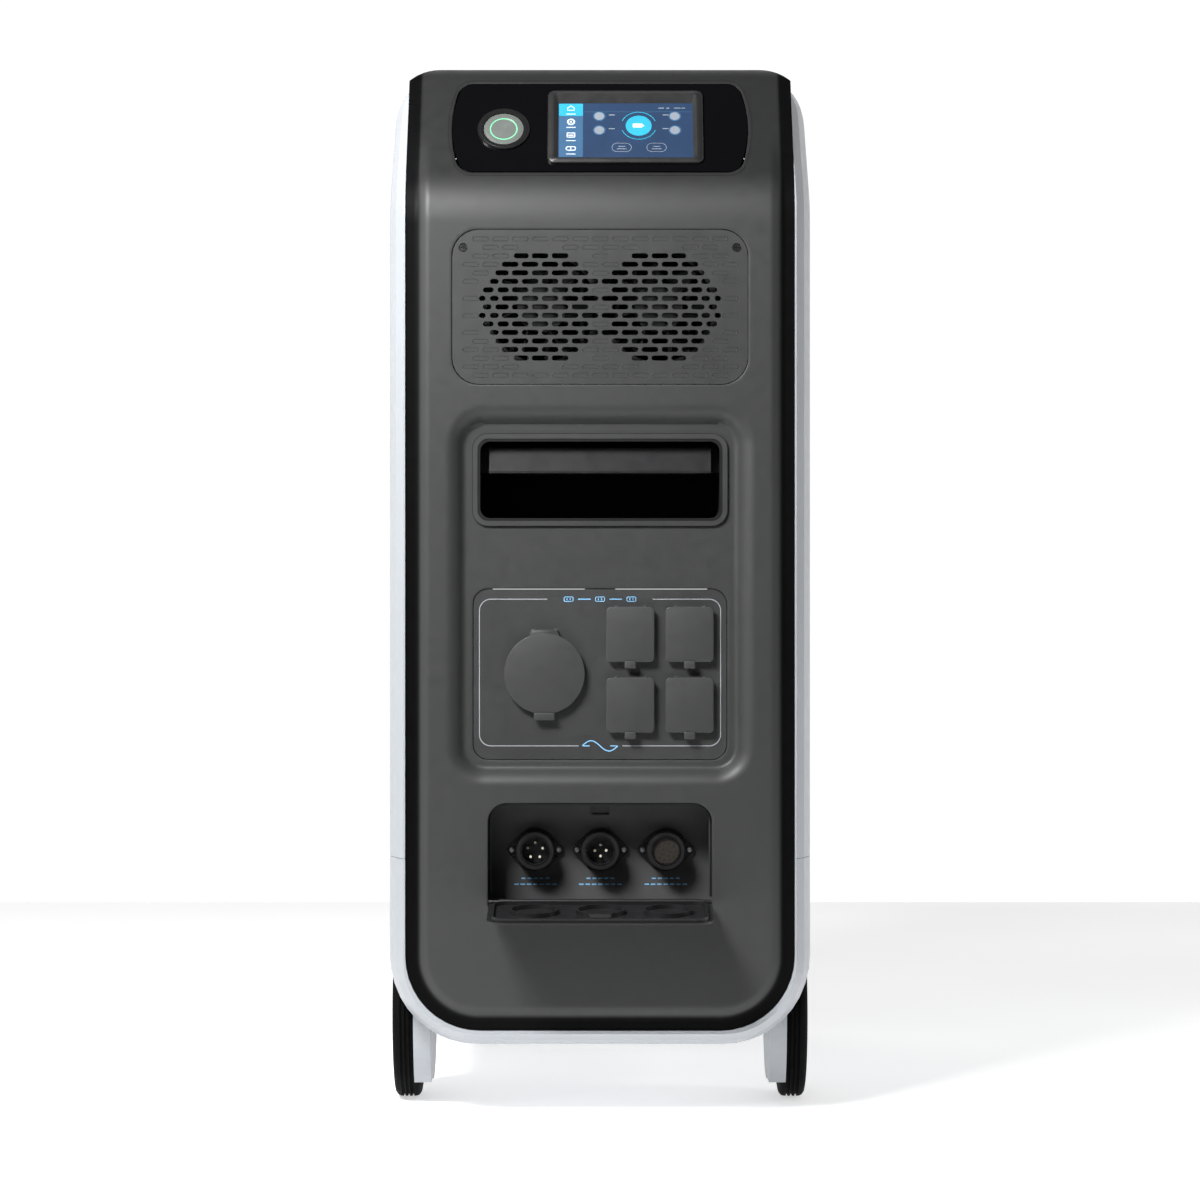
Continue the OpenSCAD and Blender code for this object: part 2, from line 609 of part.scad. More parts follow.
// Rear cover: a shallow tub with a chamfered edge and rows of air slots
module rear_cover() color("#1b1c1e") difference() {
  intersection() {
    hull() {
      along_y(rear_y - rear_cover_d + gap, rear_y - 8) polygon(body_outline(0));
      along_y(rear_y - 1, rear_y) polygon(body_outline(9));
    }
    translate([-160, 0, rear_step[1]]) cube([320, 400, 800]);
  }
  along_y(rear_y - rear_cover_d, rear_y - 4) intersection() {
    polygon(body_outline(4));
    translate([-160, rear_step[1] + 4]) square([320, 800]);
  }
  for (x = [-1, 1], row = [0:11]) along_y(rear_y - 5, rear_y + 1) polygon(
    rounded(x * 52 - 40, 330 + row * 10, x * 52 + 40, 334 + row * 10, 1.9, 3));
  for (p = rear_screw_at) translate([p[0], 0, p[1]]) rod_y(rear_y - 5, rear_y + 1, 2.2);
}

rear_screw_at = [for (x = [-118, 118], z = [130, 330, 530, 690]) [x, z]];
module rear_screws() color("#3a3b3d") for (p = rear_screw_at) translate([p[0], 0, p[1]])
  difference() {
    union() {
      rod_y(rear_y - 12, rear_y, 2.1);
      rod_y(rear_y, rear_y + 1.6, 4);
    }
    rod_y(rear_y + 0.6, rear_y + 2, 1.6);
  }

// ---------- chassis, cells and electronics ----------
deck_z = 108;
upper_deck_z = 384;
frame_y = [front_y + 98, rear_y - 30];
frame_x = 126.2;
module chassis_frame() color("#8a8e93") {
  for (z = [deck_z, upper_deck_z]) translate([-frame_x, frame_y[0], z])
    cube([2 * frame_x, frame_y[1] - frame_y[0], 3]);
  for (x = [-1, 1], y = [0, 1]) translate([x * (frame_x - 1.5), frame_y[y] + (y == 0 ? 14 : -14), 0])
    translate([-1.5, -14, deck_z]) cube([3, 28, 540]);
  for (x = [-1, 1]) translate([x * (frame_x - 1.5) - 1.5, frame_y[0], 628])
    cube([3, frame_y[1] - frame_y[0], 20]);
  for (x = [-1, 1]) translate([x * 119 - 1.5, axle_y - 30, axle_z + 14])
    cube([3, 60, deck_z - axle_z - 13]);
}

cell = [160, 49, 116];
cell_pitch = 50;
cell_y = frame_y[0] + 10;
cell_z = [deck_z + 3.2, deck_z + 127.2];
module battery_cells() color("#3f6f9d") for (z = cell_z, i = [0:7])
  translate([0, cell_y + i * cell_pitch, z]) {
    translate([-cell[0] / 2, 0, 0]) cube(cell);
    for (x = [-52, 52]) translate([x, cell[1] / 2, cell[2] - 0.1])
      cylinder(h = 2.1, r = 7, $fn = round_fn);
  }

module cell_busbars() color("#b87333") for (z = cell_z, i = [0:6])
  translate([i % 2 == 0 ? 52 : -52, cell_y + i * cell_pitch + cell[1] / 2, z + cell[2] + 2])
    translate([-8, -8, 0]) cube([16, cell_pitch + 16, 2]);

module cell_end_plates() color("#9a9da1") for (z = cell_z) {
  for (y = [cell_y - 4.5, cell_y + 8 * cell_pitch - 0.5])
    translate([-92, y, z]) cube([184, 4, cell[2] - 8]);
  for (x = [-86, 86], h = [20, 90]) translate([x, 0, z + h])
    rod_y(cell_y - 9, cell_y + 8 * cell_pitch + 8, 3);
}

module battery_board() color("#1f5e3a") translate([-112, cell_y + 40, deck_z + 30]) {
  cube([1.6, 180, 120]);
  for (i = [0:5]) translate([1.6, 14 + i * 28, 20]) cube([4, 12, 16]);
}

module inverter_board() color("#1f5e3a") translate([-108, front_y + 120, upper_deck_z + 20]) {
  cube([216, 300, 2]);
  for (i = [0:4]) translate([30 + i * 34, 12, 2]) cube([16, 6, 22]);
}

module solar_charger_board() color("#1f5e3a")
  translate([-108, front_y + 470, upper_deck_z + 30]) {
    cube([216, 2, 150]);
    for (i = [0:3]) translate([20 + i * 50, -14, 30]) cube([30, 14, 40]);
  }

module heatsink() color("#a7abb0") translate([-90, front_y + 60, 500]) {
  cube([180, 220, 6]);
  for (i = [0:14]) translate([i * 12.6, 0, 5.9]) cube([3, 220, 90]);
}

module inverter_coils() color("#b5793a") for (x = [-54, 54])
  translate([x, front_y + 330, upper_deck_z + 22]) rotate_extrude($fn = round_fn)
    translate([22, 0]) polygon(rounded(-1, 0, 20, 34, 5));

module capacitors() color("#22324a") for (i = [0:3], j = [0, 1])
  translate([-84 + i * 30, front_y + 180 + j * 34, upper_deck_z + 22])
    cylinder(h = 50, r = 13, $fn = round_fn);

// ---------- front wheels ----------
leg_x = [121, 126.2];
leg_reach = 67;
module wheel_carrier(side) color("#cdd1d6") mirror([side < 0 ? 1 : 0, 0, 0])
  translate([0, axle_y, axle_z]) difference() {
    union() {
      along_x(leg_x[0], leg_x[1]) polygon(concat(
        arc([0, 0], leg_reach, 176, 226, 8), arc([0, 0], 51, 250, 330, 8),
        [[38, 8], [30, 42], [-30, 42], [-44, 8]]));
      along_x(leg_x[0], 133) polygon(concat(
        arc([0, 0], leg_reach, 172, 226, 8), arc([0, 0], leg_reach - 2.2, 226, 172, 8)));
      rod_x(leg_x[0] - 4, leg_x[0] + 1, 13);
    }
    rod_x(leg_x[0] - 5, leg_x[1] + 1, 6);
    rod_x(leg_x[0] - 5, leg_x[0] - 2.5, 10);
  }
module wheel_carrier_left() wheel_carrier(-1);
module wheel_carrier_right() wheel_carrier(1);

module front_axle() color("#a9adb2") translate([0, axle_y, axle_z]) rod_x(-145.5, 145.5, 6);

tyre_x = 129.2;
hub_r = 44;
module front_tyre(side) color("#101112") translate([side * (tyre_x + wheel_w / 2), axle_y, axle_z])
  rotate([0, 90, 0]) rotate_extrude($fn = 96)
    polygon(rounded(hub_r, -wheel_w / 2, wheel_r, wheel_w / 2, 3.2, 5));
module front_tyre_left() front_tyre(-1);
module front_tyre_right() front_tyre(1);

module front_hub(side) color("#c9cdd2") mirror([side < 0 ? 1 : 0, 0, 0])
  translate([0, axle_y, axle_z]) difference() {
    union() {
      rod_x(tyre_x + 1, tyre_x + wheel_w - 1, hub_r);
      rod_x(tyre_x + wheel_w - 2, tyre_x + wheel_w + 1.2, 20);
    }
    rod_x(tyre_x, 146, 6.15);
    translate([tyre_x + wheel_w - 5, 0, 0]) rotate([0, 90, 0]) ring(23, 38, 6);
    translate([tyre_x - 1, 0, 0]) rotate([0, 90, 0]) ring(14, 38, 8);
  }
module front_hub_left() front_hub(-1);
module front_hub_right() front_hub(1);

// ---------- rear casters ----------
caster_x = 95;
caster_y = rear_y - 84;
caster_trail = 28;
fork_w = 34;
brake_pivot = [caster_trail + 30, 72];
module at_caster(side) translate([side * caster_x, caster_y, 0]) children();
module at_caster_axle(side) at_caster(side) translate([0, caster_trail, caster_r]) children();

module caster_plates() color("#a9adb2") for (side = [-1, 1]) at_caster(side) difference() {
  union() {
    translate([0, 0, 96]) linear_extrude(4) polygon(rounded(-36, -32, 36, 32, 5));
    translate([0, 0, 88]) cylinder(h = 9, r = 19, $fn = round_fn);
    translate([0, 0, 76]) cylinder(h = 14, r = 6, $fn = round_fn);
  }
  for (x = [-27, 27], y = [-23, 23]) translate([x, y, 90]) cylinder(h = 12, r = 4, $fn = round_fn);
}

module caster_fork(side) color("#8d9196") difference() {
  union() {
    at_caster(side) translate([0, 0, 83]) cylinder(h = 4.7, r = 21, $fn = round_fn);
    at_caster(side) translate([-fork_w / 2, -16, 80]) cube([fork_w, caster_trail + 30, 3.5]);
    for (x = [-1, 1]) at_caster(side) translate([x * (fork_w / 2 - 1.5), 0, 0])
      along_x(-1.5, 1.5) polygon([[-14, 83], [63, 83], [63, 67], [46, 62],
        [caster_trail + 9, caster_r - 6], [caster_trail - 9, caster_r - 6]]);
    at_caster_axle(side) rod_x(-fork_w / 2 - 3, fork_w / 2 + 3, 4);
    at_caster(side) translate([0, brake_pivot[0], brake_pivot[1]])
      rod_x(-fork_w / 2 - 1, fork_w / 2 + 1, 2);
  }
  at_caster(side) translate([0, 0, 70]) cylinder(h = 30, r = 6.15, $fn = round_fn);
}
module caster_fork_left() caster_fork(-1);
module caster_fork_right() caster_fork(1);

module caster_wheel(side) color("#1c1d1f") at_caster_axle(side) difference() {
  rotate([0, 90, 0]) rotate_extrude($fn = 72) polygon(rounded(3, -13, caster_r, 13, 4, 5));
  rod_x(-20, 20, 4.15);
  for (x = [-1, 1]) translate([x * 14.2, 0, 0]) rotate([0, 90, 0])
    translate([0, 0, -4]) ring(10, 27, 8);
}
module caster_wheel_left() caster_wheel(-1);
module caster_wheel_right() caster_wheel(1);

// Foot lever that presses on the wheel, pivoted across the back of the fork
module brake_pedal(side) color("#b3282a") at_caster(side) difference() {
  translate([0, brake_pivot[0], brake_pivot[1]]) union() {
    rod_x(-13, 13, 4);
    translate([-13, 2, -2]) cube([26, 20, 4]);
  }
  translate([0, brake_pivot[0], brake_pivot[1]]) rod_x(-14, 14, 2.1);
}
module brake_pedal_left() brake_pedal(-1);
module brake_pedal_right() brake_pedal(1);

front_cover();
control_panel();
display_bezel();
display_screen();
button_bezel();
power_button();
button_light_ring();
fan_grille();
front_screws();
fan_frames();
fan_rotor_left();
fan_rotor_right();
handle_liner();
handle_grip();
outlet_panel();
round_socket();
square_sockets();
cover_hinge_pins();
round_cover();
square_cover_1();
square_cover_2();
square_cover_3();
square_cover_4();
input_tray();
ac_input_connector();
dc_input_connector();
data_connector();
connector_contacts();
input_flap();
flap_hinge_pins();
side_panel_left();
side_panel_right();
base_shell();
top_cover();
rear_cover();
rear_screws();
chassis_frame();
battery_cells();
cell_end_plates();
cell_busbars();
battery_board();
inverter_board();
heatsink();
inverter_coils();
capacitors();
solar_charger_board();
wheel_carrier_left();
wheel_carrier_right();
front_axle();
front_tyre_left();
front_tyre_right();
front_hub_left();
front_hub_right();
caster_plates();
caster_fork_left();
caster_fork_right();
caster_wheel_left();
caster_wheel_right();
brake_pedal_left();
brake_pedal_right();
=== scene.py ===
"""Looks of a wheeled home power-station tower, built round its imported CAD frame.

Metres, +Z up, front to -Y.
"""
import json
from math import cos, hypot, pi, radians, sin, sqrt

import bmesh
import bpy
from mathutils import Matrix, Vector


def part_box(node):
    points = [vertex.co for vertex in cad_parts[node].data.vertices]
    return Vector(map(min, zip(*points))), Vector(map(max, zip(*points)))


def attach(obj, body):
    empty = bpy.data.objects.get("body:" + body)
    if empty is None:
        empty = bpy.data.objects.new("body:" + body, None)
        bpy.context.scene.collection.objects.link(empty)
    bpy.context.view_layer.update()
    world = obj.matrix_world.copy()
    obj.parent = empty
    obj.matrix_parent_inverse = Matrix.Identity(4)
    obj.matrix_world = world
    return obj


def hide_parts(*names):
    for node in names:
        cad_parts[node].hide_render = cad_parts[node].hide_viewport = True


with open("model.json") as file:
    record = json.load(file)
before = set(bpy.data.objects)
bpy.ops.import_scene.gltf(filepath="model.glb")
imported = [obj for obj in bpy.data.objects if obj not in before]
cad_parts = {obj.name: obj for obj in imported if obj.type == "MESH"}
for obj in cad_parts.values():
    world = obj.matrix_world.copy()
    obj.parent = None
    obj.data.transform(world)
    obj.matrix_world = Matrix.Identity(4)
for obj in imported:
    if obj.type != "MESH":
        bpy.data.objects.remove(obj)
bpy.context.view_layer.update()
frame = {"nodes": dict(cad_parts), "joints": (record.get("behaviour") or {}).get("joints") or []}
nodes = frame["nodes"]
MM = 0.001


# ---------- materials ----------
def new_material(name):
    material = bpy.data.materials.new(name)
    material.use_nodes = True
    tree = material.node_tree
    return material, tree, tree.nodes["Principled BSDF"]


def noise(tree, scale, detail=3.0, stretch=(1, 1, 1)):
    """Noise output in object space; scale is in cells per metre."""
    coords = tree.nodes.new("ShaderNodeTexCoord")
    mapping = tree.nodes.new("ShaderNodeMapping")
    mapping.inputs["Scale"].default_value = stretch
    texture = tree.nodes.new("ShaderNodeTexNoise")
    texture.inputs["Scale"].default_value = scale
    texture.inputs["Detail"].default_value = detail
    tree.links.new(coords.outputs["Object"], mapping.inputs["Vector"])
    tree.links.new(mapping.outputs["Vector"], texture.inputs["Vector"])
    return texture.outputs["Fac"]


def ramp(tree, source, low, high, start=0.3, end=0.7):
    """Colour between low and high as source goes from start to end."""
    node = tree.nodes.new("ShaderNodeValToRGB")
    node.color_ramp.elements[0].position = start
    node.color_ramp.elements[0].color = (*low, 1)
    node.color_ramp.elements[1].position = end
    node.color_ramp.elements[1].color = (*high, 1)
    tree.links.new(source, node.inputs["Fac"])
    return node.outputs["Color"]


def spread(tree, source, low, high):
    """Number between low and high that follows source."""
    node = tree.nodes.new("ShaderNodeMapRange")
    node.inputs["From Min"].default_value = 0.3
    node.inputs["From Max"].default_value = 0.7
    node.inputs["To Min"].default_value = low
    node.inputs["To Max"].default_value = high
    tree.links.new(source, node.inputs["Value"])
    return node.outputs["Result"]


def add_bump(tree, shader, source, depth):
    """Surface relief of the given depth in metres."""
    node = tree.nodes.new("ShaderNodeBump")
    node.inputs["Strength"].default_value = 1.0
    node.inputs["Distance"].default_value = depth
    tree.links.new(source, node.inputs["Height"])
    tree.links.new(node.outputs["Normal"], shader.inputs["Normal"])


def plastic(name, colour, rough, grain=1600, depth=0.00004, shift=0.14, coat=0.0, level=0.5):
    """Moulded plastic: slight colour drift, uneven sheen and a spark-eroded grain."""
    material, tree, shader = new_material(name)
    broad = noise(tree, 9, 4)
    low = tuple(c * (1 - shift) for c in colour)
    high = tuple(min(c * (1 + shift), 1) for c in colour)
    tree.links.new(ramp(tree, broad, low, high), shader.inputs["Base Color"])
    tree.links.new(spread(tree, noise(tree, 130, 5), rough - 0.05, rough + 0.06), shader.inputs["Roughness"])
    add_bump(tree, shader, noise(tree, grain, 2), depth)
    shader.inputs["Coat Weight"].default_value = coat
    shader.inputs["Coat Roughness"].default_value = 0.06
    shader.inputs["Specular IOR Level"].default_value = level
    return material


def metal(name, colour, rough, brush=(1, 1, 1), grain=900, depth=0.000012):
    """Metal with drawn or turned marks along the unstretched axis."""
    material, tree, shader = new_material(name)
    shader.inputs["Metallic"].default_value = 1.0
    marks = noise(tree, grain, 4, brush)
    low = tuple(c * 0.82 for c in colour)
    tree.links.new(ramp(tree, marks, low, colour), shader.inputs["Base Color"])
    tree.links.new(spread(tree, marks, rough - 0.07, rough + 0.1), shader.inputs["Roughness"])
    add_bump(tree, shader, marks, depth)
    return material


def glow(name, colour, strength, drift=0.12):
    """Lit display or diffuser, slightly uneven."""
    material, tree, shader = new_material(name)
    low = tuple(c * (1 - drift) for c in colour)
    shade = ramp(tree, noise(tree, 60, 2), low, colour)
    tree.links.new(shade, shader.inputs["Emission Color"])
    tree.links.new(shade, shader.inputs["Base Color"])
    shader.inputs["Emission Strength"].default_value = strength
    shader.inputs["Roughness"].default_value = 0.35
    return material


def fascia_plastic():
    """Charcoal face with painted shade read from the mesh's edge attribute: near black, with its sheen turned
    down, in the band along its edge where the face turns sideways, and partly darkened over the control
    section.
    """
    material, tree, shader = new_material("fascia_plastic")
    drift = ramp(tree, noise(tree, 7, 3), (0.032, 0.0325, 0.033), (0.036, 0.0365, 0.037))
    edge = tree.nodes.new("ShaderNodeAttribute")
    edge.attribute_name = "edge"
    mix = tree.nodes.new("ShaderNodeMix")
    mix.data_type = "RGBA"
    tree.links.new(edge.outputs["Fac"], mix.inputs["Factor"])
    tree.links.new(drift, mix.inputs["A"])
    # painted shade: this near black is laid on the sideways-facing edge band and, in part, on the control
    # section
    mix.inputs["B"].default_value = (0.002, 0.002, 0.0022, 1)
    tree.links.new(mix.outputs["Result"], shader.inputs["Base Color"])
    sheen = tree.nodes.new("ShaderNodeMapRange")
    sheen.inputs["To Min"].default_value = 0.42
    sheen.inputs["To Max"].default_value = 0.06
    tree.links.new(edge.outputs["Fac"], sheen.inputs["Value"])
    tree.links.new(sheen.outputs["Result"], shader.inputs["Specular IOR Level"])
    tree.links.new(spread(tree, noise(tree, 120, 5), 0.44, 0.54), shader.inputs["Roughness"])
    add_bump(tree, shader, noise(tree, 1500, 2), 0.00005)
    return material


FASCIA = fascia_plastic()
CHARCOAL = plastic("charcoal_plastic", (0.034, 0.0345, 0.035), 0.48, level=0.42)
SATIN_BLACK = plastic("satin_black", (0.013, 0.013, 0.014), 0.42, level=0.4)
LINER_BLACK = plastic("liner_black", (0.012, 0.012, 0.0125), 0.5, level=0.14)
TRAY_GREY = plastic("tray_grey", (0.075, 0.075, 0.077), 0.5, level=0.4)
GLOSS_BLACK = plastic("gloss_black", (0.002, 0.002, 0.0024), 0.12, 500, 0.000002, 0.1, 0.35, 0.2)
GRIP = plastic("grip_plastic", (0.012, 0.012, 0.013), 0.38, 1900, 0.00003, level=0.3)
COVER_RUBBER = plastic("cover_rubber", (0.036, 0.0365, 0.0375), 0.5, 2100, 0.00004)
LIGHT_GREY = plastic("light_grey", (0.36, 0.38, 0.405), 0.36, 1300, 0.00002, 0.03)
TYRE = plastic("tyre_rubber", (0.002, 0.002, 0.0022), 0.75, 700, 0.00008, 0.25, level=0.08)
CONNECTOR = plastic("connector_black", (0.012, 0.012, 0.013), 0.3, 1500, 0.00001, 0.2)
INSERT = plastic("insert_brown", (0.022, 0.017, 0.013), 0.5, 1200, 0.00002, 0.2)
BOARD = plastic("circuit_board", (0.02, 0.11, 0.05), 0.3, 300, 0.00003, 0.3)
CELL_FILM = plastic("cell_film", (0.03, 0.09, 0.24), 0.28, 200, 0.00003, 0.15)
PEDAL_RED = plastic("pedal_red", (0.4, 0.02, 0.02), 0.35, 900, 0.00003)
BLACK_STEEL = metal("black_steel", (0.07, 0.07, 0.075), 0.36)
ZINC = metal("zinc_steel", (0.62, 0.63, 0.65), 0.3)
DARK_RING = plastic("dark_ring", (0.008, 0.008, 0.0085), 0.25, 900, 0.00001, coat=0.3)
# diffuse grey for the button's metal face: its own tone with a painted reflection in place of a metal sheen
BUTTON_TONE_AND_PAINTED_SHEEN = plastic("button_metal", (0.1, 0.11, 0.102), 0.3, 500, 0.00002, 0.2)
BEZEL_GREY = plastic("bezel_grey", (0.014, 0.014, 0.0145), 0.38, 1400, 0.00001, level=0.4)
FRAME_PAINT = plastic("frame_paint", (0.2, 0.21, 0.22), 0.5, 600, 0.00004)
ALUMINIUM = metal("extruded_aluminium", (0.7, 0.71, 0.72), 0.35, (9, 1, 9))
# pale diffuse colour for the contact pins: their plating's tone with a painted glint standing in for the
# metal's reflection
CONTACT_PLATING_AND_GLINT = plastic("contact_plating_and_painted_glint", (0.8, 0.76, 0.64), 0.22, 900, 0.00001, 0.08)
COPPER = metal("copper_bar", (0.75, 0.38, 0.2), 0.32, (1, 8, 1))
SCREEN_NAVY = glow("screen_navy", (0.013, 0.028, 0.062), 1.0)
SCREEN_SLATE = glow("screen_slate", (0.03, 0.075, 0.14), 1.0)
SCREEN_CYAN = glow("screen_cyan", (0.02, 0.23, 0.33), 1.0)
SCREEN_GREY = glow("screen_grey", (0.15, 0.17, 0.2), 1.0)
SCREEN_WHITE = glow("screen_white", (0.42, 0.46, 0.5), 1.0)
RING_GREEN = glow("ring_green", (0.13, 0.46, 0.25), 0.8)
LABEL_BLUE = plastic("label_blue", (0.22, 0.5, 0.78), 0.45, 900, 0.00001, 0.06)
LABEL_GREY = plastic("label_grey", (0.34, 0.36, 0.38), 0.45, 900, 0.00001, 0.06)

NODE_MATERIALS = {
    CHARCOAL: ["fan_grille", "outlet_panel", "top_cover", "rear_cover"],
    GLOSS_BLACK: ["control_panel"],
    BEZEL_GREY: ["display_bezel"],
    SCREEN_NAVY: ["display_screen"],
    DARK_RING: ["button_bezel"],
    BUTTON_TONE_AND_PAINTED_SHEEN: ["power_button"],
    RING_GREEN: ["button_light_ring"],
    BLACK_STEEL: ["front_screws", "rear_screws", "flap_hinge_pins"],
    SATIN_BLACK: ["fan_frames", "fan_rotor_left", "fan_rotor_right", "round_socket", "square_sockets",
                  "input_flap"],
    TRAY_GREY: ["input_tray"],
    LINER_BLACK: ["handle_liner"],
    GRIP: ["handle_grip"],
    COVER_RUBBER: ["round_cover", "square_cover_1", "square_cover_2", "square_cover_3", "square_cover_4"],
    CONNECTOR: ["ac_input_connector", "dc_input_connector", "data_connector"],
    CONTACT_PLATING_AND_GLINT: ["connector_contacts"],
    ZINC: ["cover_hinge_pins", "front_axle", "caster_plates", "caster_fork_left",
           "caster_fork_right"],
    LIGHT_GREY: ["side_panel_left", "side_panel_right", "base_shell", "wheel_carrier_left",
                 "wheel_carrier_right", "front_hub_left", "front_hub_right"],
    FRAME_PAINT: ["chassis_frame"],
    CELL_FILM: ["battery_cells", "capacitors"],
    ALUMINIUM: ["cell_end_plates", "heatsink"],
    COPPER: ["cell_busbars", "inverter_coils"],
    BOARD: ["battery_board", "inverter_board", "solar_charger_board"],
    TYRE: ["front_tyre_left", "front_tyre_right", "caster_wheel_left", "caster_wheel_right"],
    PEDAL_RED: ["brake_pedal_left", "brake_pedal_right"],
    FASCIA: ["front_cover"],
}
for material, names in NODE_MATERIALS.items():
    for name in names:
        slots = nodes[name].data.materials
        slots.clear()
        slots.append(material)


# ---------- mesh building, in millimetres until Shape.piece turns them into metres ----------
def box_mm(node):
    low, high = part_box(node)
    return [c / MM for c in low], [c / MM for c in high]


def arc(cx, cy, r, start, end, steps):
    return [(cx + r * cos(radians(start + (end - start) * i / steps)),
             cy + r * sin(radians(start + (end - start) * i / steps))) for i in range(steps + 1)]


def rounded(x0, y0, x1, y1, r, steps=6):
    return (arc(x1 - r, y0 + r, r, -90, 0, steps) + arc(x1 - r, y1 - r, r, 0, 90, steps)
            + arc(x0 + r, y1 - r, r, 90, 180, steps) + arc(x0 + r, y0 + r, r, 180, 270, steps))


def disc(cx, cy, r, steps=32):
    return arc(cx, cy, r, 0, 360, steps)[:-1]


def shrink(outline, inset):
    """Outline moved inwards by inset; it runs anticlockwise."""
    out = []
    count = len(outline)
    for i, (x, y) in enumerate(outline):
        ax, ay = outline[i - 1]
        bx, by = outline[(i + 1) % count]
        dx, dy = bx - ax, by - ay
        size = hypot(dx, dy) or 1
        out.append((x - dy / size * inset, y + dx / size * inset))
    return out


class Shape:
    """Collects slabs, lathed solids and tubes into one mesh."""

    def __init__(self, place):
        self.place = place
        self.verts = []
        self.faces = []

    def rings(self, rings, closed=True, cap_low=True, cap_high=True):
        """Skin over rings of equal length, each a list of (u, v, h)."""
        first = len(self.verts)
        count = len(rings[0])
        for ring in rings:
            self.verts += [self.place(*p) for p in ring]
        for k in range(len(rings) - 1):
            for i in range(count if closed else count - 1):
                a = first + k * count + i
                b = first + k * count + (i + 1) % count
                self.faces.append((a, b, b + count, a + count))
        if cap_low:
            self.faces.append(tuple(range(first + count - 1, first - 1, -1)))
        if cap_high:
            last = first + (len(rings) - 1) * count
            self.faces.append(tuple(range(last, last + count)))

    def slab(self, outline, low, high, bevel=0.0):
        """Plate between two heights, with its upper edge rounded by bevel."""
        levels = [(0, low)]
        if bevel:
            levels += [(bevel * (1 - cos(radians(a))), high - bevel * (1 - sin(radians(a))))
                       for a in (0, 30, 60, 90)]
        else:
            levels.append((0, high))
        self.rings([[(x, y, h) for x, y in shrink(outline, t)] for t, h in levels])

    def frame(self, outline, width, low, high):
        """Closed border strip of the given width along the inside of outline."""
        inner = shrink(outline, width)
        loop = [[(x, y, h) for x, y in line] for line, h in
                ((outline, low), (outline, high), (inner, high), (inner, low), (outline, low))]
        self.rings(loop, cap_low=False, cap_high=False)

    def stroke(self, points, width, low, high):
        """Open strip of the given width along points."""
        left, right = [], []
        for i, (x, y) in enumerate(points):
            ax, ay = points[max(i - 1, 0)]
            bx, by = points[min(i + 1, len(points) - 1)]
            size = hypot(bx - ax, by - ay) or 1
            nx, ny = -(by - ay) / size * width / 2, (bx - ax) / size * width / 2
            left.append((x + nx, y + ny))
            right.append((x - nx, y - ny))
        self.slab(right + left[::-1], low, high)

    def lathe(self, cx, cy, profile, steps=48):
        """Profile of (radius, height) turned about the axis through (cx, cy)."""
        self.rings([[(x, y, h) for x, y in disc(cx, cy, r, steps)] for r, h in profile],
                   cap_low=profile[0][0] > 0.01, cap_high=profile[-1][0] > 0.01)

    def piece(self, name, body, material, slot, smooth=30):
        mesh = bpy.data.meshes.new(name)
        mesh.from_pydata([[c * MM for c in v] for v in self.verts], [], self.faces)
        mesh.materials.append(material)
        work = bmesh.new()
        work.from_mesh(mesh)
        bmesh.ops.remove_doubles(work, verts=work.verts, dist=0.000002)
        bmesh.ops.recalc_face_normals(work, faces=work.faces)
        work.to_mesh(mesh)
        work.free()
        mesh.shade_smooth()
        mesh.set_sharp_from_angle(angle=radians(smooth))
        obj = bpy.data.objects.new(name, mesh)
        bpy.context.scene.collection.objects.link(obj)
        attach(obj, body)
        return obj


cover_low, cover_high = box_mm("front_cover")
FRONT = cover_low[1]
FACE_W = cover_high[0]
FACE_LOW = cover_low[2]
TOP = cover_high[2]
FACE_R = 52.0
SLANT = radians(33)
LEAN_R = 60.0
CROWN_R = 24.0
SHOULDER_R = 38.0
SHOULDER_X = 110.0
lean_z = TOP - 117
lean_y = FRONT + LEAN_R * (1 - cos(SLANT))
slope_z = lean_z + LEAN_R * sin(SLANT)
slope_len = (TOP - 11 - slope_z) / cos(SLANT)
UPRIGHT = lean_z - FACE_LOW
LEAN_ARC = LEAN_R * SLANT
CROWN_ARC = CROWN_R * (pi / 2 - SLANT)
slope_s = UPRIGHT + LEAN_ARC
full_s = slope_s + slope_len + CROWN_ARC


def on_front(surface):
    """Place for things on an upright face: across, up, out towards the viewer."""
    return lambda u, v, h: (u, surface - h, v)


def on_slope(u, v, h):
    """Place for things on the leaning control section: across, up the slope, out of it."""
    return (u, lean_y + v * sin(SLANT) - h * cos(SLANT), slope_z + v * cos(SLANT) + h * sin(SLANT))


def profile(s):
    """Point (y, z) and inward normal (y, z) of the front's side view, s along it from its lower edge."""
    if s <= UPRIGHT:
        return FRONT, FACE_LOW + s, 1.0, 0.0
    s -= UPRIGHT
    if s <= LEAN_ARC:
        a = s / LEAN_R
        return FRONT + LEAN_R * (1 - cos(a)), lean_z + LEAN_R * sin(a), cos(a), -sin(a)
    s -= LEAN_ARC
    if s <= slope_len:
        return lean_y + s * sin(SLANT), slope_z + s * cos(SLANT), cos(SLANT), -sin(SLANT)
    a = SLANT + (s - slope_len) / CROWN_R
    y = lean_y + slope_len * sin(SLANT) + CROWN_R * (cos(SLANT) - cos(a))
    z = slope_z + slope_len * cos(SLANT) + CROWN_R * (sin(a) - sin(SLANT))
    return y, z, cos(a), -sin(a)


def ease(t):
    t = min(max(t, 0.0), 1.0)
    return t * t * (3 - 2 * t)


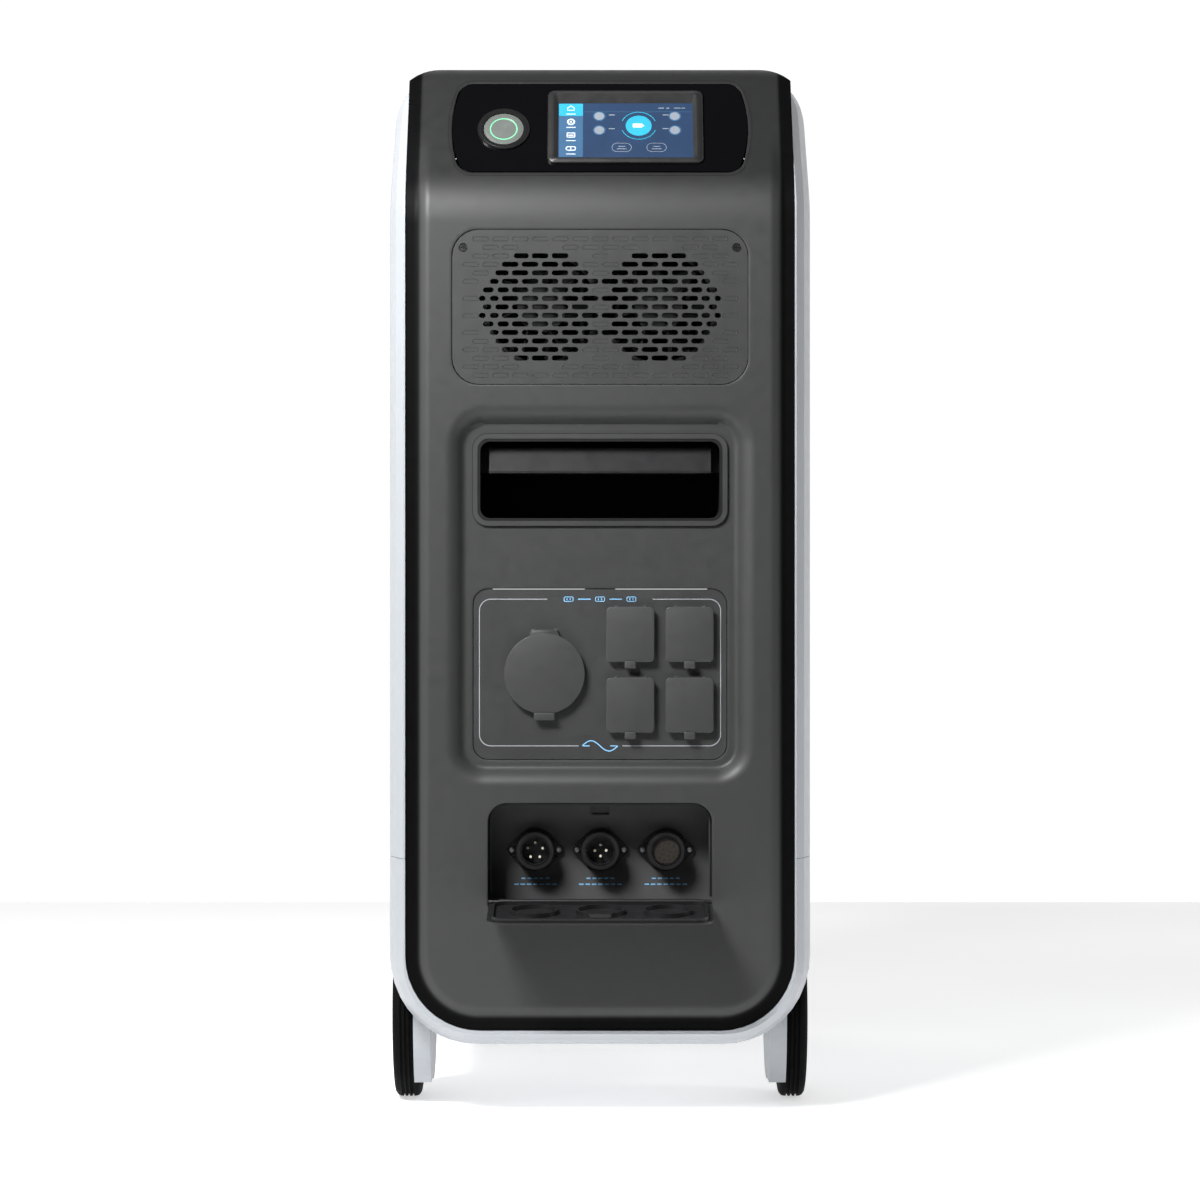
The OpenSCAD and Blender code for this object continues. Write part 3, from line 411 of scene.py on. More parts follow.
class Opening:
    """Rounded rectangle in the face's own (x, s) coordinates."""

    def __init__(self, x0, s0, x1, s1, r_low, r_high=None, bulge=0.0):
        self.mid = ((x0 + x1) / 2, (s0 + s1) / 2)
        self.half = ((x1 - x0) / 2, (s1 - s0) / 2)
        self.radii = (r_low, r_low if r_high is None else r_high)
        self.bulge = bulge

    def distance(self, x, s):
        """Signed distance to the edge, negative inside."""
        r = self.radii[0] if s < self.mid[1] else self.radii[1]
        narrowing = self.bulge * min(((s - self.mid[1]) / self.half[1]) ** 2, 1) * 1.15
        dx = abs(x - self.mid[0]) - self.half[0] + narrowing + r
        ds = abs(s - self.mid[1]) - self.half[1] + r
        return hypot(max(dx, 0), max(ds, 0)) + min(max(dx, ds), 0) - r

    def outward(self, x, s):
        """Unit direction of growing distance."""
        step = 0.01
        gx = self.distance(x + step, s) - self.distance(x - step, s)
        gs = self.distance(x, s + step) - self.distance(x, s - step)
        size = hypot(gx, gs) or 1
        return gx / size, gs / size


def opening_of(node, grow, r_low, r_high=None):
    low, high = box_mm(node)
    return Opening(low[0] - grow, low[2] - FACE_LOW - grow, high[0] + grow, high[2] - FACE_LOW + grow,
                   r_low, r_high)


flap_joint = next(j for j in frame["joints"] if j["child"] == "input_flap")
FLAP_Z = flap_joint["pos_m"][2] / MM
tray_low, tray_high = box_mm("input_tray")
PANEL_V = (4.4, 84.8)
PANEL_BULGE = 5.4
panel_low, panel_high = box_mm("control_panel")
EDGE_ROUND = 0.45
outlet_low, outlet_high = box_mm("outlet_panel")
liner_low, liner_high = box_mm("handle_liner")
POCKET_RIM_H = 65.2
rim_top = liner_low[2] + POCKET_RIM_H
TRAY_LIP = 2.8         # how far the opening hides the input tray's rim
openings = {
    "grille": opening_of("fan_grille", 0.35 + EDGE_ROUND, 19.3),
    "pocket": Opening(liner_low[0] + 2.2, liner_low[2] + 2.2 - FACE_LOW, liner_high[0] - 2.2,
                      rim_top - 2.2 - FACE_LOW, 9.0),
    "outlets": opening_of("outlet_panel", 0.35 + EDGE_ROUND, 11.2),
    "input": Opening(tray_low[0] + TRAY_LIP, FLAP_Z - 4.4 - FACE_LOW,
                     tray_high[0] - TRAY_LIP, tray_high[2] - TRAY_LIP - FACE_LOW,
                     1.5, 13.7),
    "panel": Opening(panel_low[0] - 0.8, slope_s + PANEL_V[0] - 0.8, panel_high[0] + 0.8,
                     slope_s + PANEL_V[1] + 0.8, 9.8, bulge=PANEL_BULGE),
}
RECESS_DEPTH = outlet_low[1] + 0.4 - FRONT
RECESS_WALL = 13.0
recess = Opening(-95.6, outlet_low[2] - 6 - FACE_LOW, 95.6, rim_top + 6.8 - FACE_LOW, 15)


def edge_distance(x, s):
    """Distance to the face's own outline."""
    x = abs(x)
    if s < FACE_R and x > FACE_W - FACE_R:
        return FACE_R - hypot(x - FACE_W + FACE_R, FACE_R - s)
    return min(FACE_W - x, s)


BAND = 6.5            # width of the band along the edge, sunk back and painted near black as shade
BAND_RISE = 10.0      # width of its slope up to the face
BAND_DEPTH = 4.6      # how far the band lies behind the face
HEAD_PAINTED_SHADE = 0.55     # how much painted shade, in the band's near black, darkens the control section
BAND_FADE = (30, 80)  # the band's step starts to fade this far below the slope, and over this length
BEND_CELL = 1.6       # grid size round the lower bend and on the flat parts
CROWN_CELL = 1.5


def face_point(x, s):
    """Point of the face, and how much painted shade darkens it."""
    y, z, ny, nz = profile(s)
    gap = edge_distance(x, s)
    band = 1 - ease((gap - BAND) / BAND_RISE)
    depth = BAND_DEPTH * band * (1 - ease((s - slope_s + BAND_FADE[0]) / BAND_FADE[1]))
    depth += RECESS_DEPTH * (1 - min(max(recess.distance(x, s) / RECESS_WALL, 0), 1)) ** 2.2
    y += ny * depth
    z += nz * depth
    if abs(x) > SHOULDER_X:
        z = min(z, TOP - SHOULDER_R + sqrt(SHOULDER_R ** 2 - (abs(x) - SHOULDER_X) ** 2))
    # painted shade: the control section is darkened in colour, as if it faced away from the light
    head_painted_shade = HEAD_PAINTED_SHADE * ease((s - UPRIGHT - LEAN_ARC * 0.35) / (LEAN_ARC * 0.9))
    return (x, y, z), max(ease((band - 0.5) / 0.45), head_painted_shade)


def steps_between(start, end, size):
    count = max(1, round((end - start) / size))
    return [start + (end - start) * i / count for i in range(1, count + 1)]


def build_fascia(cell):
    """The front cover's outer skin: a fine grid that dips into the recess.

    Its openings are cut out of the grid, and their edges are rolled back.
    """
    rows = [FACE_R * (1 - cos(radians(a))) for a in range(0, 91, 3)]
    rows += steps_between(FACE_R, UPRIGHT, cell)
    rows += steps_between(UPRIGHT, slope_s, BEND_CELL)
    rows += steps_between(slope_s, slope_s + slope_len, cell)
    rows += steps_between(slope_s + slope_len, full_s, CROWN_CELL)
    margin, margin_cells = 24, 20
    inner = int((FACE_W - margin) * 2 / cell)
    params = []
    for s in rows:
        half = FACE_W if s >= FACE_R else FACE_W - FACE_R + sqrt(max(FACE_R ** 2 - (FACE_R - s) ** 2, 0))
        across = [-half + margin * i / margin_cells for i in range(margin_cells)]
        across += [(margin - half) + (half - margin) * 2 * i / inner for i in range(inner + 1)]
        across += [-x for x in across[margin_cells - 1::-1]]
        params.append([[x, s] for x in across])
    width = len(params[0])
    flat = [p for row in params for p in row]
    faces = []
    for r in range(len(rows) - 1):
        for c in range(width - 1):
            a = r * width + c
            faces.append((a, a + 1, a + width + 1, a + width))

    def middle(face):
        return sum(flat[i][0] for i in face) / 4, sum(flat[i][1] for i in face) / 4

    kept = []
    hole_of = {}
    for face in faces:
        x, s = middle(face)
        hole = next((h for h in openings.values() if h.distance(x, s) < 0), None)
        if hole is None:
            kept.append(face)
        else:
            for i in face:
                hole_of[i] = hole
    used = {i for face in kept for i in face}
    for i, hole in hole_of.items():
        if i in used:
            x, s = flat[i]
            gx, gs = hole.outward(x, s)
            gap = hole.distance(x, s)
            flat[i] = [x - gx * gap, s - gs * gap]
    sides = {}
    for face in kept:
        for k in range(4):
            a, b = face[k], face[(k + 1) % 4]
            sides[(a, b)] = True
    rim = [(a, b) for a, b in sides if (b, a) not in sides]
    points, painted_shade_levels = [], []
    for x, s in flat:
        point, band = face_point(x, s)
        points.append(point)
        painted_shade_levels.append(band)
    copies = {}

    def rolled(i, level):
        """Vertex i moved off the face's edge and back from it, once for each level of the rolled edge."""
        if (i, level) in copies:
            return copies[(i, level)]
        x, s = flat[i]
        _, _, ny, nz = profile(s)
        if i in hole_of:
            gx, gs = hole_of[i].outward(x, s)
            out, back = ((0.6, 0.12), (1.0, 0.5), (1.0, 3.0))[level]
            shift = (x - gx * out * EDGE_ROUND, s - gs * out * EDGE_ROUND)
            back = back if level == 2 else back * 2 * EDGE_ROUND
        else:
            shift = (x, s)
            back = (0.6, 4.0, 11.0)[level]
        base, band = face_point(*shift)
        copies[(i, level)] = len(points)
        points.append((base[0], base[1] + ny * back, base[2] + nz * back))
        # the rolled-back outer edge takes the full painted shade
        painted_shade_levels.append(band if i in hole_of else 1.0)
        return copies[(i, level)]

    for a, b in rim:
        chain_a = [a] + [rolled(a, k) for k in range(3)]
        chain_b = [b] + [rolled(b, k) for k in range(3)]
        for k in range(3):
            kept.append((chain_b[k], chain_a[k], chain_a[k + 1], chain_b[k + 1]))
    return points, kept, painted_shade_levels


def make_fascia():
    points, faces, painted_shade_levels = build_fascia(BEND_CELL)
    mesh = bpy.data.meshes.new("front_fascia")
    mesh.from_pydata([[c * MM for c in p] for p in points], [], faces)
    # the edge attribute holds the painted shade of the edge band and of the control section
    layer = mesh.attributes.new("edge", "FLOAT", "POINT")
    layer.data.foreach_set("value", painted_shade_levels)
    mesh.materials.append(FASCIA)
    work = bmesh.new()
    work.from_mesh(mesh)
    loose = [v for v in work.verts if not v.link_faces]
    bmesh.ops.delete(work, geom=loose, context="VERTS")
    work.to_mesh(mesh)
    work.free()
    mesh.shade_smooth()
    mesh.set_sharp_from_angle(angle=radians(50))
    obj = bpy.data.objects.new("front_fascia", mesh)
    bpy.context.scene.collection.objects.link(obj)
    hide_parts("front_cover")
    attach(obj, "casing")


make_fascia()


# ---------- display ----------
DISPLAY = (-37.0, 11.0, 72.8, 77.0)      # bezel on the slope: left, low, right, high
SCREEN = (-29.0, 16.4, 65.2, 65.1)
GLASS_H = 1.9
FLAT_INK = (GLASS_H, GLASS_H + 0.03)     # undermost of the layers drawn on the glass
LINE_INK = (GLASS_H, GLASS_H + 0.05)
DISC_INK = (GLASS_H + 0.04, GLASS_H + 0.07)
ICON_INK = (GLASS_H + 0.06, GLASS_H + 0.09)


def panel_outline(grow):
    """Control panel's outline moved outwards by grow: flat above and below, bulging at the sides."""
    turn, r = 19, 9
    mid, half = (PANEL_V[0] + PANEL_V[1]) / 2, (PANEL_V[1] - PANEL_V[0]) / 2
    corner_x = panel_high[0] - PANEL_BULGE - r * cos(radians(turn))
    corner_v = half - r
    reach = corner_v + r * sin(radians(turn))
    side = [(panel_high[0] + grow - PANEL_BULGE * (i / 6) ** 2, mid + i / 6 * reach) for i in range(-5, 6)]
    right = (arc(corner_x, mid - corner_v, r + grow, -90, -turn, 5) + side
             + arc(corner_x, mid + corner_v, r + grow, turn, 90, 5))
    return right + [(-x, v) for x, v in right[::-1]]


def make_display():
    x0, v0, x1, v1 = SCREEN
    width, height = x1 - x0, v1 - v0
    bezel = Shape(on_slope)
    outer = rounded(DISPLAY[0], DISPLAY[1], DISPLAY[2], DISPLAY[3], 5, 8)
    crest = rounded(DISPLAY[0] + 4.2, DISPLAY[1] + 2.6, DISPLAY[2] - 4.2, DISPLAY[3] - 3.0, 3.2, 8)
    inner = rounded(x0 - 0.5, v0 - 0.5, x1 + 0.5, v1 + 0.5, 0.8, 8)
    loop = [(outer, 0.65), (outer, 1.5), (shrink(outer, 0.5), 2.2), (shrink(outer, 1.4), 2.6), (crest, 3.3),
            (shrink(crest, 0.4), 3.2), (inner, 1.95), (inner, 1.2)]
    bezel.rings([[(x, v, h) for x, v in line] for line, h in loop], cap_low=False, cap_high=False)
    bezel.piece("display_surround", "casing", BEZEL_GREY, "gloss_black")
    seam = Shape(on_slope)
    seam.frame(panel_outline(3.4), 0.45, -0.3, 0.12)
    seam.piece("panel_seam", "casing", LINER_BLACK, "gloss_black")

    side = x0 + width * 0.18
    slate = Shape(on_slope)
    slate.slab([(x0, v0), (side, v0), (side, v1), (x0, v1)], *FLAT_INK)
    slate.slab(rounded(side + 0.6, v1 - 7.6, x1, v1 - 7.3, 0.1, 2), *FLAT_INK)
    spot_xs = (side + width * 0.18 - 5.4, x1 - width * 0.13)
    spots = [(x, v0 + height * row) for x in spot_xs for row in (0.5, 0.765)]
    for spot in spots:
        slate.slab(disc(*spot, 4.4), *FLAT_INK)
    slate.piece("screen_menu_bar", "casing", SCREEN_SLATE, "screen")

    centre = (side + (x1 - side) * 0.51, v0 + height * 0.585)
    cyan = Shape(on_slope)
    tab_v = v1 - height * 0.23
    cyan.slab([(x0, tab_v), (side, tab_v), (side, v1), (x0, v1)], GLASS_H + 0.03, GLASS_H + 0.06)
    cyan.slab(disc(*centre, 9.2, 48), *LINE_INK)
    for start in (20, 200):
        cyan.stroke(arc(*centre, 12.4, start, start + 140, 24), 0.5, *LINE_INK)
    cyan.piece("screen_charge_dial", "casing", SCREEN_CYAN, "screen")

    grey = Shape(on_slope)
    for spot in spots:
        grey.slab(disc(*spot, 3.5), *DISC_INK)
    for oval_x in (centre[0] - 12.1, centre[0] + 12.5):
        grey.frame(rounded(oval_x - 7, v0 + 4.6, oval_x + 7, v0 + 12.6, 3.9, 8), 0.35, *LINE_INK)
        grey.slab(rounded(oval_x - 2.5, v0 + 9.2, oval_x + 2.5, v0 + 9.8, 0.2, 2), *LINE_INK)
        grey.slab(rounded(oval_x - 3.5, v0 + 7.0, oval_x + 3.5, v0 + 7.6, 0.2, 2), *LINE_INK)
    for i, dash in enumerate((5, 3, 6, 3)):
        grey.slab(rounded(x1 - 24 + i * 5.6, v1 - 4.4, x1 - 24 + i * 5.6 + dash * 0.8, v1 - 3.7, 0.2, 2),
                  *LINE_INK)
    for sign in (-1, 1):
        for row in (0.52, 0.78):
            at = centre[0] + sign * 19
            grey.slab(rounded(at - 2.2, v0 + height * row, at + 2.2, v0 + height * row + 0.8, 0.3, 2),
                      *LINE_INK)
    grey.piece("screen_readouts", "casing", SCREEN_GREY, "screen")

    white = Shape(on_slope)
    cell = height / 4
    mid = (x0 + side) / 2
    for i in range(4):
        low = v1 - (i + 1) * cell
        white.slab(rounded(mid - 3.4, low + 2.2, mid + 3.4, low + 2.9, 0.2, 2), *ICON_INK)
        at = low + 7.6
        if i == 0:
            house = [(mid - 2.6, at - 1.8), (mid + 2.6, at - 1.8), (mid + 2.6, at + 0.8), (mid, at + 3),
                     (mid - 2.6, at + 0.8)]
            white.frame(house, 0.7, *ICON_INK)
        elif i == 1:
            white.frame(disc(mid, at, 2.9, 24), 1.1, *ICON_INK)
            white.slab(disc(mid, at, 0.9, 16), *ICON_INK)
        elif i == 2:
            white.frame(rounded(mid - 3, at - 2.2, mid + 3, at + 2.4, 0.6, 3), 0.8, *ICON_INK)
            white.slab(rounded(mid - 1.8, at - 0.6, mid + 1.8, at + 0.4, 0.2, 2), *ICON_INK)
        else:
            white.frame(rounded(mid - 3.6, at - 2, mid + 3.6, at + 2, 1.6, 6), 0.8, *ICON_INK)
            white.slab(rounded(mid - 0.4, at - 1.1, mid + 0.4, at + 1.1, 0.2, 2), *ICON_INK)
    dial_x, dial_v = centre
    white.slab(rounded(dial_x - 4.2, dial_v - 1.7, dial_x + 2.6, dial_v + 1.9, 0.6, 3), *ICON_INK)
    white.slab(rounded(dial_x + 3, dial_v - 0.7, dial_x + 3.8, dial_v + 0.9, 0.2, 2), *ICON_INK)
    white.piece("screen_icons", "casing", SCREEN_WHITE, "screen")


# ---------- power button ----------
BUTTON = (-68.1, 42.2)
ROUND_STEPS = 96


def make_button():
    bezel = Shape(on_slope)
    section = [(14.2, 0.3), (14.4, 1.3), (15.1, 1.9), (16.4, 2.1), (17.6, 1.7), (18.3, 1.0), (18.4, 0.62)]
    bezel.lathe(*BUTTON, section, ROUND_STEPS)
    bezel.faces = bezel.faces[:-2]
    bezel.piece("button_surround", "casing", DARK_RING, "dark_metal")
    disc_piece = Shape(on_slope)
    turned = []
    for i in range(0, 9):
        r = 0.6 + i
        turned += [(r, 1.46), (r + 0.3, 1.5), (r + 0.7, 1.5), (r + 0.95, 1.44)]
    turned = [(r, h) for r, h in turned if r < 8.7]
    turned += [(8.95, 1.5), (8.95, 1.15)]
    turned = [(r, h + 0.08) for r, h in turned]
    disc_piece.rings([[(x, v, h) for x, v in disc(*BUTTON, r, ROUND_STEPS)] for r, h in turned[::-1]],
                     cap_low=False)
    rim = [(9.8, 1.15), (9.8, 1.5), (10.0, 1.62), (12.6, 1.62), (13.5, 1.3), (13.95, 0.6)]
    disc_piece.rings([[(x, v, h) for x, v in disc(*BUTTON, r, ROUND_STEPS)] for r, h in rim],
                     cap_low=False, cap_high=False)
    disc_piece.piece("button_face", "power_button", BUTTON_TONE_AND_PAINTED_SHEEN, "button_metal")


# ---------- fan grille ----------
grille_low, grille_high = box_mm("fan_grille")
GRILLE_MID = (grille_low[2] + grille_high[2]) / 2
SLOT_PITCH = 13.95
ROW_PITCH = 5.95
GRILLE_SCREW_X = 95.6
SLOT = (11.6, 3.6)
CLUSTER = (41.0, 43.5)                  # offset of the slotted rounds and their reach


def make_grille_dimples():
    """Shallow pressed slots that carry the grille's pattern over the rest of its plate."""
    dimples = Shape(on_front(grille_low[1]))
    span = int((grille_high[0] - 8) / SLOT_PITCH) + 1
    for row in range(-8, 9):
        z = GRILLE_MID + row * ROW_PITCH
        shift = 0.5 if row % 2 else 0.0
        for i in range(-span, span + 1):
            x = (i + shift) * SLOT_PITCH
            if abs(x) + SLOT[0] / 2 > grille_high[0] - 3:
                continue
            if abs(abs(x) - GRILLE_SCREW_X) < 9 and row > 5:
                continue
            if hypot(abs(x) - CLUSTER[0], row * ROW_PITCH) < CLUSTER[1] + 1.5 and x:
                continue
            if abs(row) < 3 and 0 < abs(x) < CLUSTER[0] + 46:
                continue
            half_w, half_h = SLOT[0] / 2, SLOT[1] / 2
            outline = rounded(x - half_w, z - half_h, x + half_w, z + half_h, half_h - 0.02, 5)
            loop = [(outline, 0.0), (shrink(outline, 0.3), 0.3), (shrink(outline, 0.55), 0.3),
                    (shrink(outline, 0.9), 0.02)]
            dimples.rings([[(u, v, h) for u, v in line] for line, h in loop], cap_low=False, cap_high=False)
    dimples.piece("grille_dimples", "casing", CHARCOAL, "charcoal_plastic")


# ---------- outlet panel print ----------
def make_outlet_print():
    front = on_front(outlet_low[1])
    left, low = outlet_low[0] + 4.1, outlet_low[2] + 9.4
    right, high = outlet_high[0] - 4.1, outlet_high[2] - 6.9
    radius = 8.0
    gap_top = 37.0
    gap_low = (-15.0, 15.6)
    lines = Shape(front)
    loop_left = ([(-gap_top, high)] + arc(left + radius, high - radius, radius, 90, 180, 8)
                 + arc(left + radius, low + radius, radius, 180, 270, 8) + [(gap_low[0], low)])
    loop_right = ([(gap_top, high)] + arc(right - radius, high - radius, radius, 90, 0, 8)
                  + arc(right - radius, low + radius, radius, 0, -90, 8) + [(gap_low[1], low)])
    lines.stroke(loop_left, 0.55, 0.0, 0.06)
    lines.stroke(loop_right, 0.55, 0.0, 0.06)
    lines.piece("outlet_frame_line", "casing", LABEL_GREY, "charcoal_plastic")
    marks = Shape(front)
    wave = [(-12.5 + 25 * i / 48, low + 3.6 * sin(2 * pi * i / 48)) for i in range(49)]
    marks.stroke(wave, 0.75, 0.0, 0.07)
    for x in (-9.5, 9.5):
        marks.slab(rounded(x - 2.4, low - 0.35, x + 2.4, low + 0.35, 0.3, 2), 0.07, 0.09)
    for i in range(3):
        x = -22 + i * 22
        marks.frame(rounded(x - 3.4, high - 1.8, x + 3.4, high + 1.8, 1.1, 4), 0.5, 0.0, 0.07)
        for dx in (-1.1, 1.1):
            marks.slab(rounded(x + dx - 0.3, high - 0.8, x + dx + 0.3, high + 0.8, 0.2, 2), 0.0, 0.07)
        if i < 2:
            marks.slab(rounded(x + 6.5, high - 0.35, x + 15.5, high + 0.35, 0.3, 2), 0.0, 0.07)
    marks.piece("outlet_blue_marks", "casing", LABEL_BLUE, "charcoal_plastic")


# ---------- connectors ----------
CONNECTOR_NODES = ("ac_input_connector", "dc_input_connector", "data_connector")
SHELL_R = 13.0
BORE_R = 9.4
FLANGE_FRONT = 14.6
FLANGE_SCREW_X = 16.7


def make_connectors():
    for node in CONNECTOR_NODES:
        low, high = box_mm(node)
        x, z = (low[0] + high[0]) / 2, (low[2] + high[2]) / 2
        shell = Shape(on_front(low[1]))
        rim = [(BORE_R, -12.6), (BORE_R, -0.3), (BORE_R + 0.4, 0.0), (BORE_R + 1.0, 0.0),
               (BORE_R + 1.5, -0.6), (SHELL_R - 0.6, -1.0), (SHELL_R - 0.1, -1.6)]
        for i in range(5):
            start = -2.0 - i * 1.9
            rim += [(SHELL_R - 0.1, start), (SHELL_R + 0.35, start - 0.5), (SHELL_R + 0.35, start - 0.9),
                    (SHELL_R - 0.1, start - 1.4)]
        rim += [(SHELL_R, -14.4), (SHELL_R + 0.9, -14.5), (SHELL_R + 1.4, -15.0)]
        shell.lathe(x, z, rim, 72)
        shell.faces = [f for f in shell.faces if len(f) == 4]
        shell.piece(node + "_thread", "casing", CONNECTOR, "connector_shell")
        heads = Shape(on_front(low[1] + FLANGE_FRONT))
        for side in (-1, 1):
            heads.lathe(x + side * FLANGE_SCREW_X, z, [(2.05, 0.0), (2.05, 1.2), (1.4, 1.8), (0.02, 1.9)], 20)
        heads.piece(node + "_screw_heads", "casing", ZINC, "dark_metal")
        insert = Shape(on_front(low[1]))
        is_data = node == "data_connector"
        depth = -2.2 if is_data else -11.5
        insert.lathe(x, z, [(BORE_R - 0.05, -12.9), (BORE_R - 0.05, depth),
                            (BORE_R - 0.5, depth + 0.3), (0.02, depth + 0.3)], 48)
        if is_data:
            contact = [(0.95, depth + 0.3), (0.85, depth + 0.7), (0.02, depth + 0.72)]
            for ring_r, count in ((6.2, 10), (3.0, 5)):
                for i in range(count):
                    a = 2 * pi * i / count
                    insert.lathe(x + ring_r * cos(a), z + ring_r * sin(a), contact, 12)
        insert.piece(node + "_insert", "casing", INSERT if is_data else SATIN_BLACK, "connector_shell")


def make_tray_marks():
    """Blue icons under the connectors, the catch plate above them."""
    back = box_mm("ac_input_connector")[0][1]
    wall = on_front(back + 16.97)
    marks = Shape(wall)
    for node in CONNECTOR_NODES:
        low, high = box_mm(node)
        x = (low[0] + high[0]) / 2
        z = low[2] - 5.4
        for dx in (-8.5, -4.2, 0, 4.2, 8.5):
            marks.slab(rounded(x + dx - 1.5, z - 0.5, x + dx + 1.5, z + 0.5, 0.4, 2), 0.0, 0.06)
        for dx in (-13.5, -9, -4.5, 0, 4.5, 9, 13.5):
            marks.slab(rounded(x + dx - 1.7, z - 4.7, x + dx + 1.7, z - 3.7, 0.4, 2), 0.0, 0.06)
    marks.piece("tray_blue_marks", "casing", LABEL_BLUE, "black_plastic")
    top = tray_high[2] - 3.5
    catch = Shape(on_front(FRONT + 12))
    outline = rounded(-7.0, top - 9.4, 7.4, top + 1.4, 1.2, 4)
    catch.frame(outline, 1.1, -3, 0)
    catch.slab(shrink(outline, 1.1), -3, -2.2)
    catch.piece("flap_catch", "casing", COVER_RUBBER, "black_plastic")


SEAL_BACK, SEAL_FRONT = -13.0, -10.5     # behind the closed flap, seen from the face


def make_input_seal():
    """Soft lip round the inside of the input compartment's opening."""
    x0, z0 = tray_low[0] + 3.6, FLAP_Z + 3
    x1, z1 = tray_high[0] - 3.6, tray_high[2] - 3.6
    r = 12
    path = [(x0, z0), (x0, z1 - r)]
    path += arc(x0 + r, z1 - r, r, 180, 90, 8)
    path += arc(x1 - r, z1 - r, r, 90, 0, 8)
    path += [(x1, z1 - r), (x1, z0)]
    lip = Shape(on_front(FRONT))
    lip.stroke(path, 1.5, SEAL_BACK, SEAL_FRONT)
    lip.piece("input_seal", "casing", LINER_BLACK, "black_plastic")
    inner = [(x + (1.3 if x < 0 else -1.3), z - (1.3 if z > z0 + 30 else 0)) for x, z in path]
    bead = Shape(on_front(FRONT))
    bead.stroke(inner, 0.8, SEAL_BACK, SEAL_FRONT + 0.2)
    bead.piece("input_seal_bead", "casing", COVER_RUBBER, "black_plastic")


# ---------- handle ----------
def make_handle():
    """Rim of the pocket, and the grip bar with a leaning face and a thin lip between two dark ends."""
    rim = Shape(on_front(liner_low[1]))
    outline = rounded(liner_low[0] + 0.4, liner_low[2] + 0.4, liner_high[0] - 0.4, rim_top - 0.4, 10.8, 8)
    rim.frame(outline, 3.4, -0.2, 0.3)
    rim.piece("pocket_rim", "casing", CHARCOAL, "charcoal_plastic", 40)
    grip_low, grip_high = box_mm("handle_grip")
    front, back = grip_low[1], grip_high[1]
    low, high = grip_low[2], grip_high[2]
    end, reach = 77.8, grip_high[0]
    bar = Shape(lambda u, v, h: (h, u, v))
    side = [(front + 1.6, low), (front + 1, low + 0.5), (front + 1.1, low + 1.3), (front + 2.8, low + 1.8),
            (front + 4.2, low + 8), (front + 6, high - 2), (front + 9, high), (back, high), (back, low)]
    bar.rings([[(y, z, x) for y, z in side] for x in (-end, end)])
    piece = bar.piece("grip_bar", "casing", GRIP, "grip_plastic", 35)
    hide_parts("handle_grip")
    rib = Shape(lambda u, v, h: (h, u, v))
    edge = [(y - 0.5 if y < front + 10 else y, z) for y, z in side]
    rib.rings([[(y, z, x) for y, z in edge] for x in (end - 1.4, end)])
    rib.piece("grip_end_rib", "casing", GRIP, "grip_plastic", 35)
    ends = Shape(lambda u, v, h: (h, u, v))
    block = [(front + 15, low + 1), (front + 15, high - 1), (back, high - 1), (back, low + 1)]
    for x0, x1 in ((-reach, -end), (end, reach)):
        ends.rings([[(y, z, x) for y, z in block] for x in (x0, x1)])
    ends.piece("grip_ends", "casing", LINER_BLACK, "black_plastic", 35)


# ---------- outlet covers ----------
ROUND_R = 28.2
ROUND_TOP = 30.85                       # from the axis of the round cover to the top of its knuckle
SQUARE_HALF = (16.85, 19.25)
SQUARE_LOW = 23.8                       # from the tip of a square cover's tab to the cover's middle


def make_cover_skins():
    """Moulded face and finger tab of each outlet cover."""
    for node in ("round_cover", "square_cover_1", "square_cover_2", "square_cover_3", "square_cover_4"):
        low, high = box_mm(node)
        x = (low[0] + high[0]) / 2
        skin = Shape(on_front(low[1]))
        if node == "round_cover":
            z = high[2] - ROUND_TOP
            skin.slab(disc(x, z, ROUND_R + 0.1, 72), -1.2, 0.45, 0.45)
            knuckle = [(x - 11.5, z + 23.5), (x + 11.5, z + 23.5), (x + 9, z + 30.4), (x - 9, z + 30.4)]
            skin.slab(knuckle, -1.2, 0.4, 0.4)
            tab = (x - 7.4, z - 32.7, x + 7.4, z - 27.4)
        else:
            z = low[2] + SQUARE_LOW
            half_w, half_h = SQUARE_HALF
            skin.slab(rounded(x - half_w, z - half_h, x + half_w, z + half_h, 3.3, 8), -1.2, 0.45, 0.45)
            tab = (x - 4.0, z - 23.9, x + 4.0, z - 18.6)
        skin.piece(node + "_skin", node, COVER_RUBBER, "cover_rubber", 40)
        lift = Shape(on_front(low[1]))
        lift.slab(rounded(*tab, 1.2, 4), -1.2, 1.3, 0.6)
        lift.piece(node + "_tab", node, COVER_RUBBER, "cover_rubber", 40)


# ---------- wheels ----------
GROOVE_DEPTH = 1.5


def make_tyres():
    for side, body in ((-1, "wheel_left"), (1, "wheel_right")):
        node = "front_tyre_left" if side < 0 else "front_tyre_right"
        low, high = box_mm(node)
        mid = [(a + b) / 2 for a, b in zip(low, high)]
        radius = (high[2] - low[2]) / 2
        half = (high[0] - low[0]) / 2

        def place(u, v, h, mid=mid):
            return (mid[0] + h, mid[1] + u, mid[2] + v)

        wall = [(44.2, -half + 0.6), (46, -half + 0.1), (58, -half), (60.6, -half + 0.5),
                (62.4, -half + 1.8), (radius - 0.2, -half + 3.4)]
        floor_r = radius - GROOVE_DEPTH
        tread = list(wall)
        for groove in (-3.2, 0.0, 3.2):
            tread += [(radius, groove - 0.9), (floor_r, groove - 0.7), (floor_r, groove + 0.7),
                      (radius, groove + 0.9)]
        tread += [(r, -h) for r, h in wall[::-1]]
        tyre = Shape(place)
        tyre.lathe(0, 0, tread, 128)
        tyre.faces = [f for f in tyre.faces if len(f) == 4]
        piece = tyre.piece(node.replace("front_tyre", "front_tread"), body, TYRE, "tyre_black", 25)
        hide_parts(node)


make_display()
make_button()
make_grille_dimples()
make_outlet_print()
make_connectors()
make_tray_marks()
make_input_seal()
make_handle()
make_cover_skins()
make_tyres()


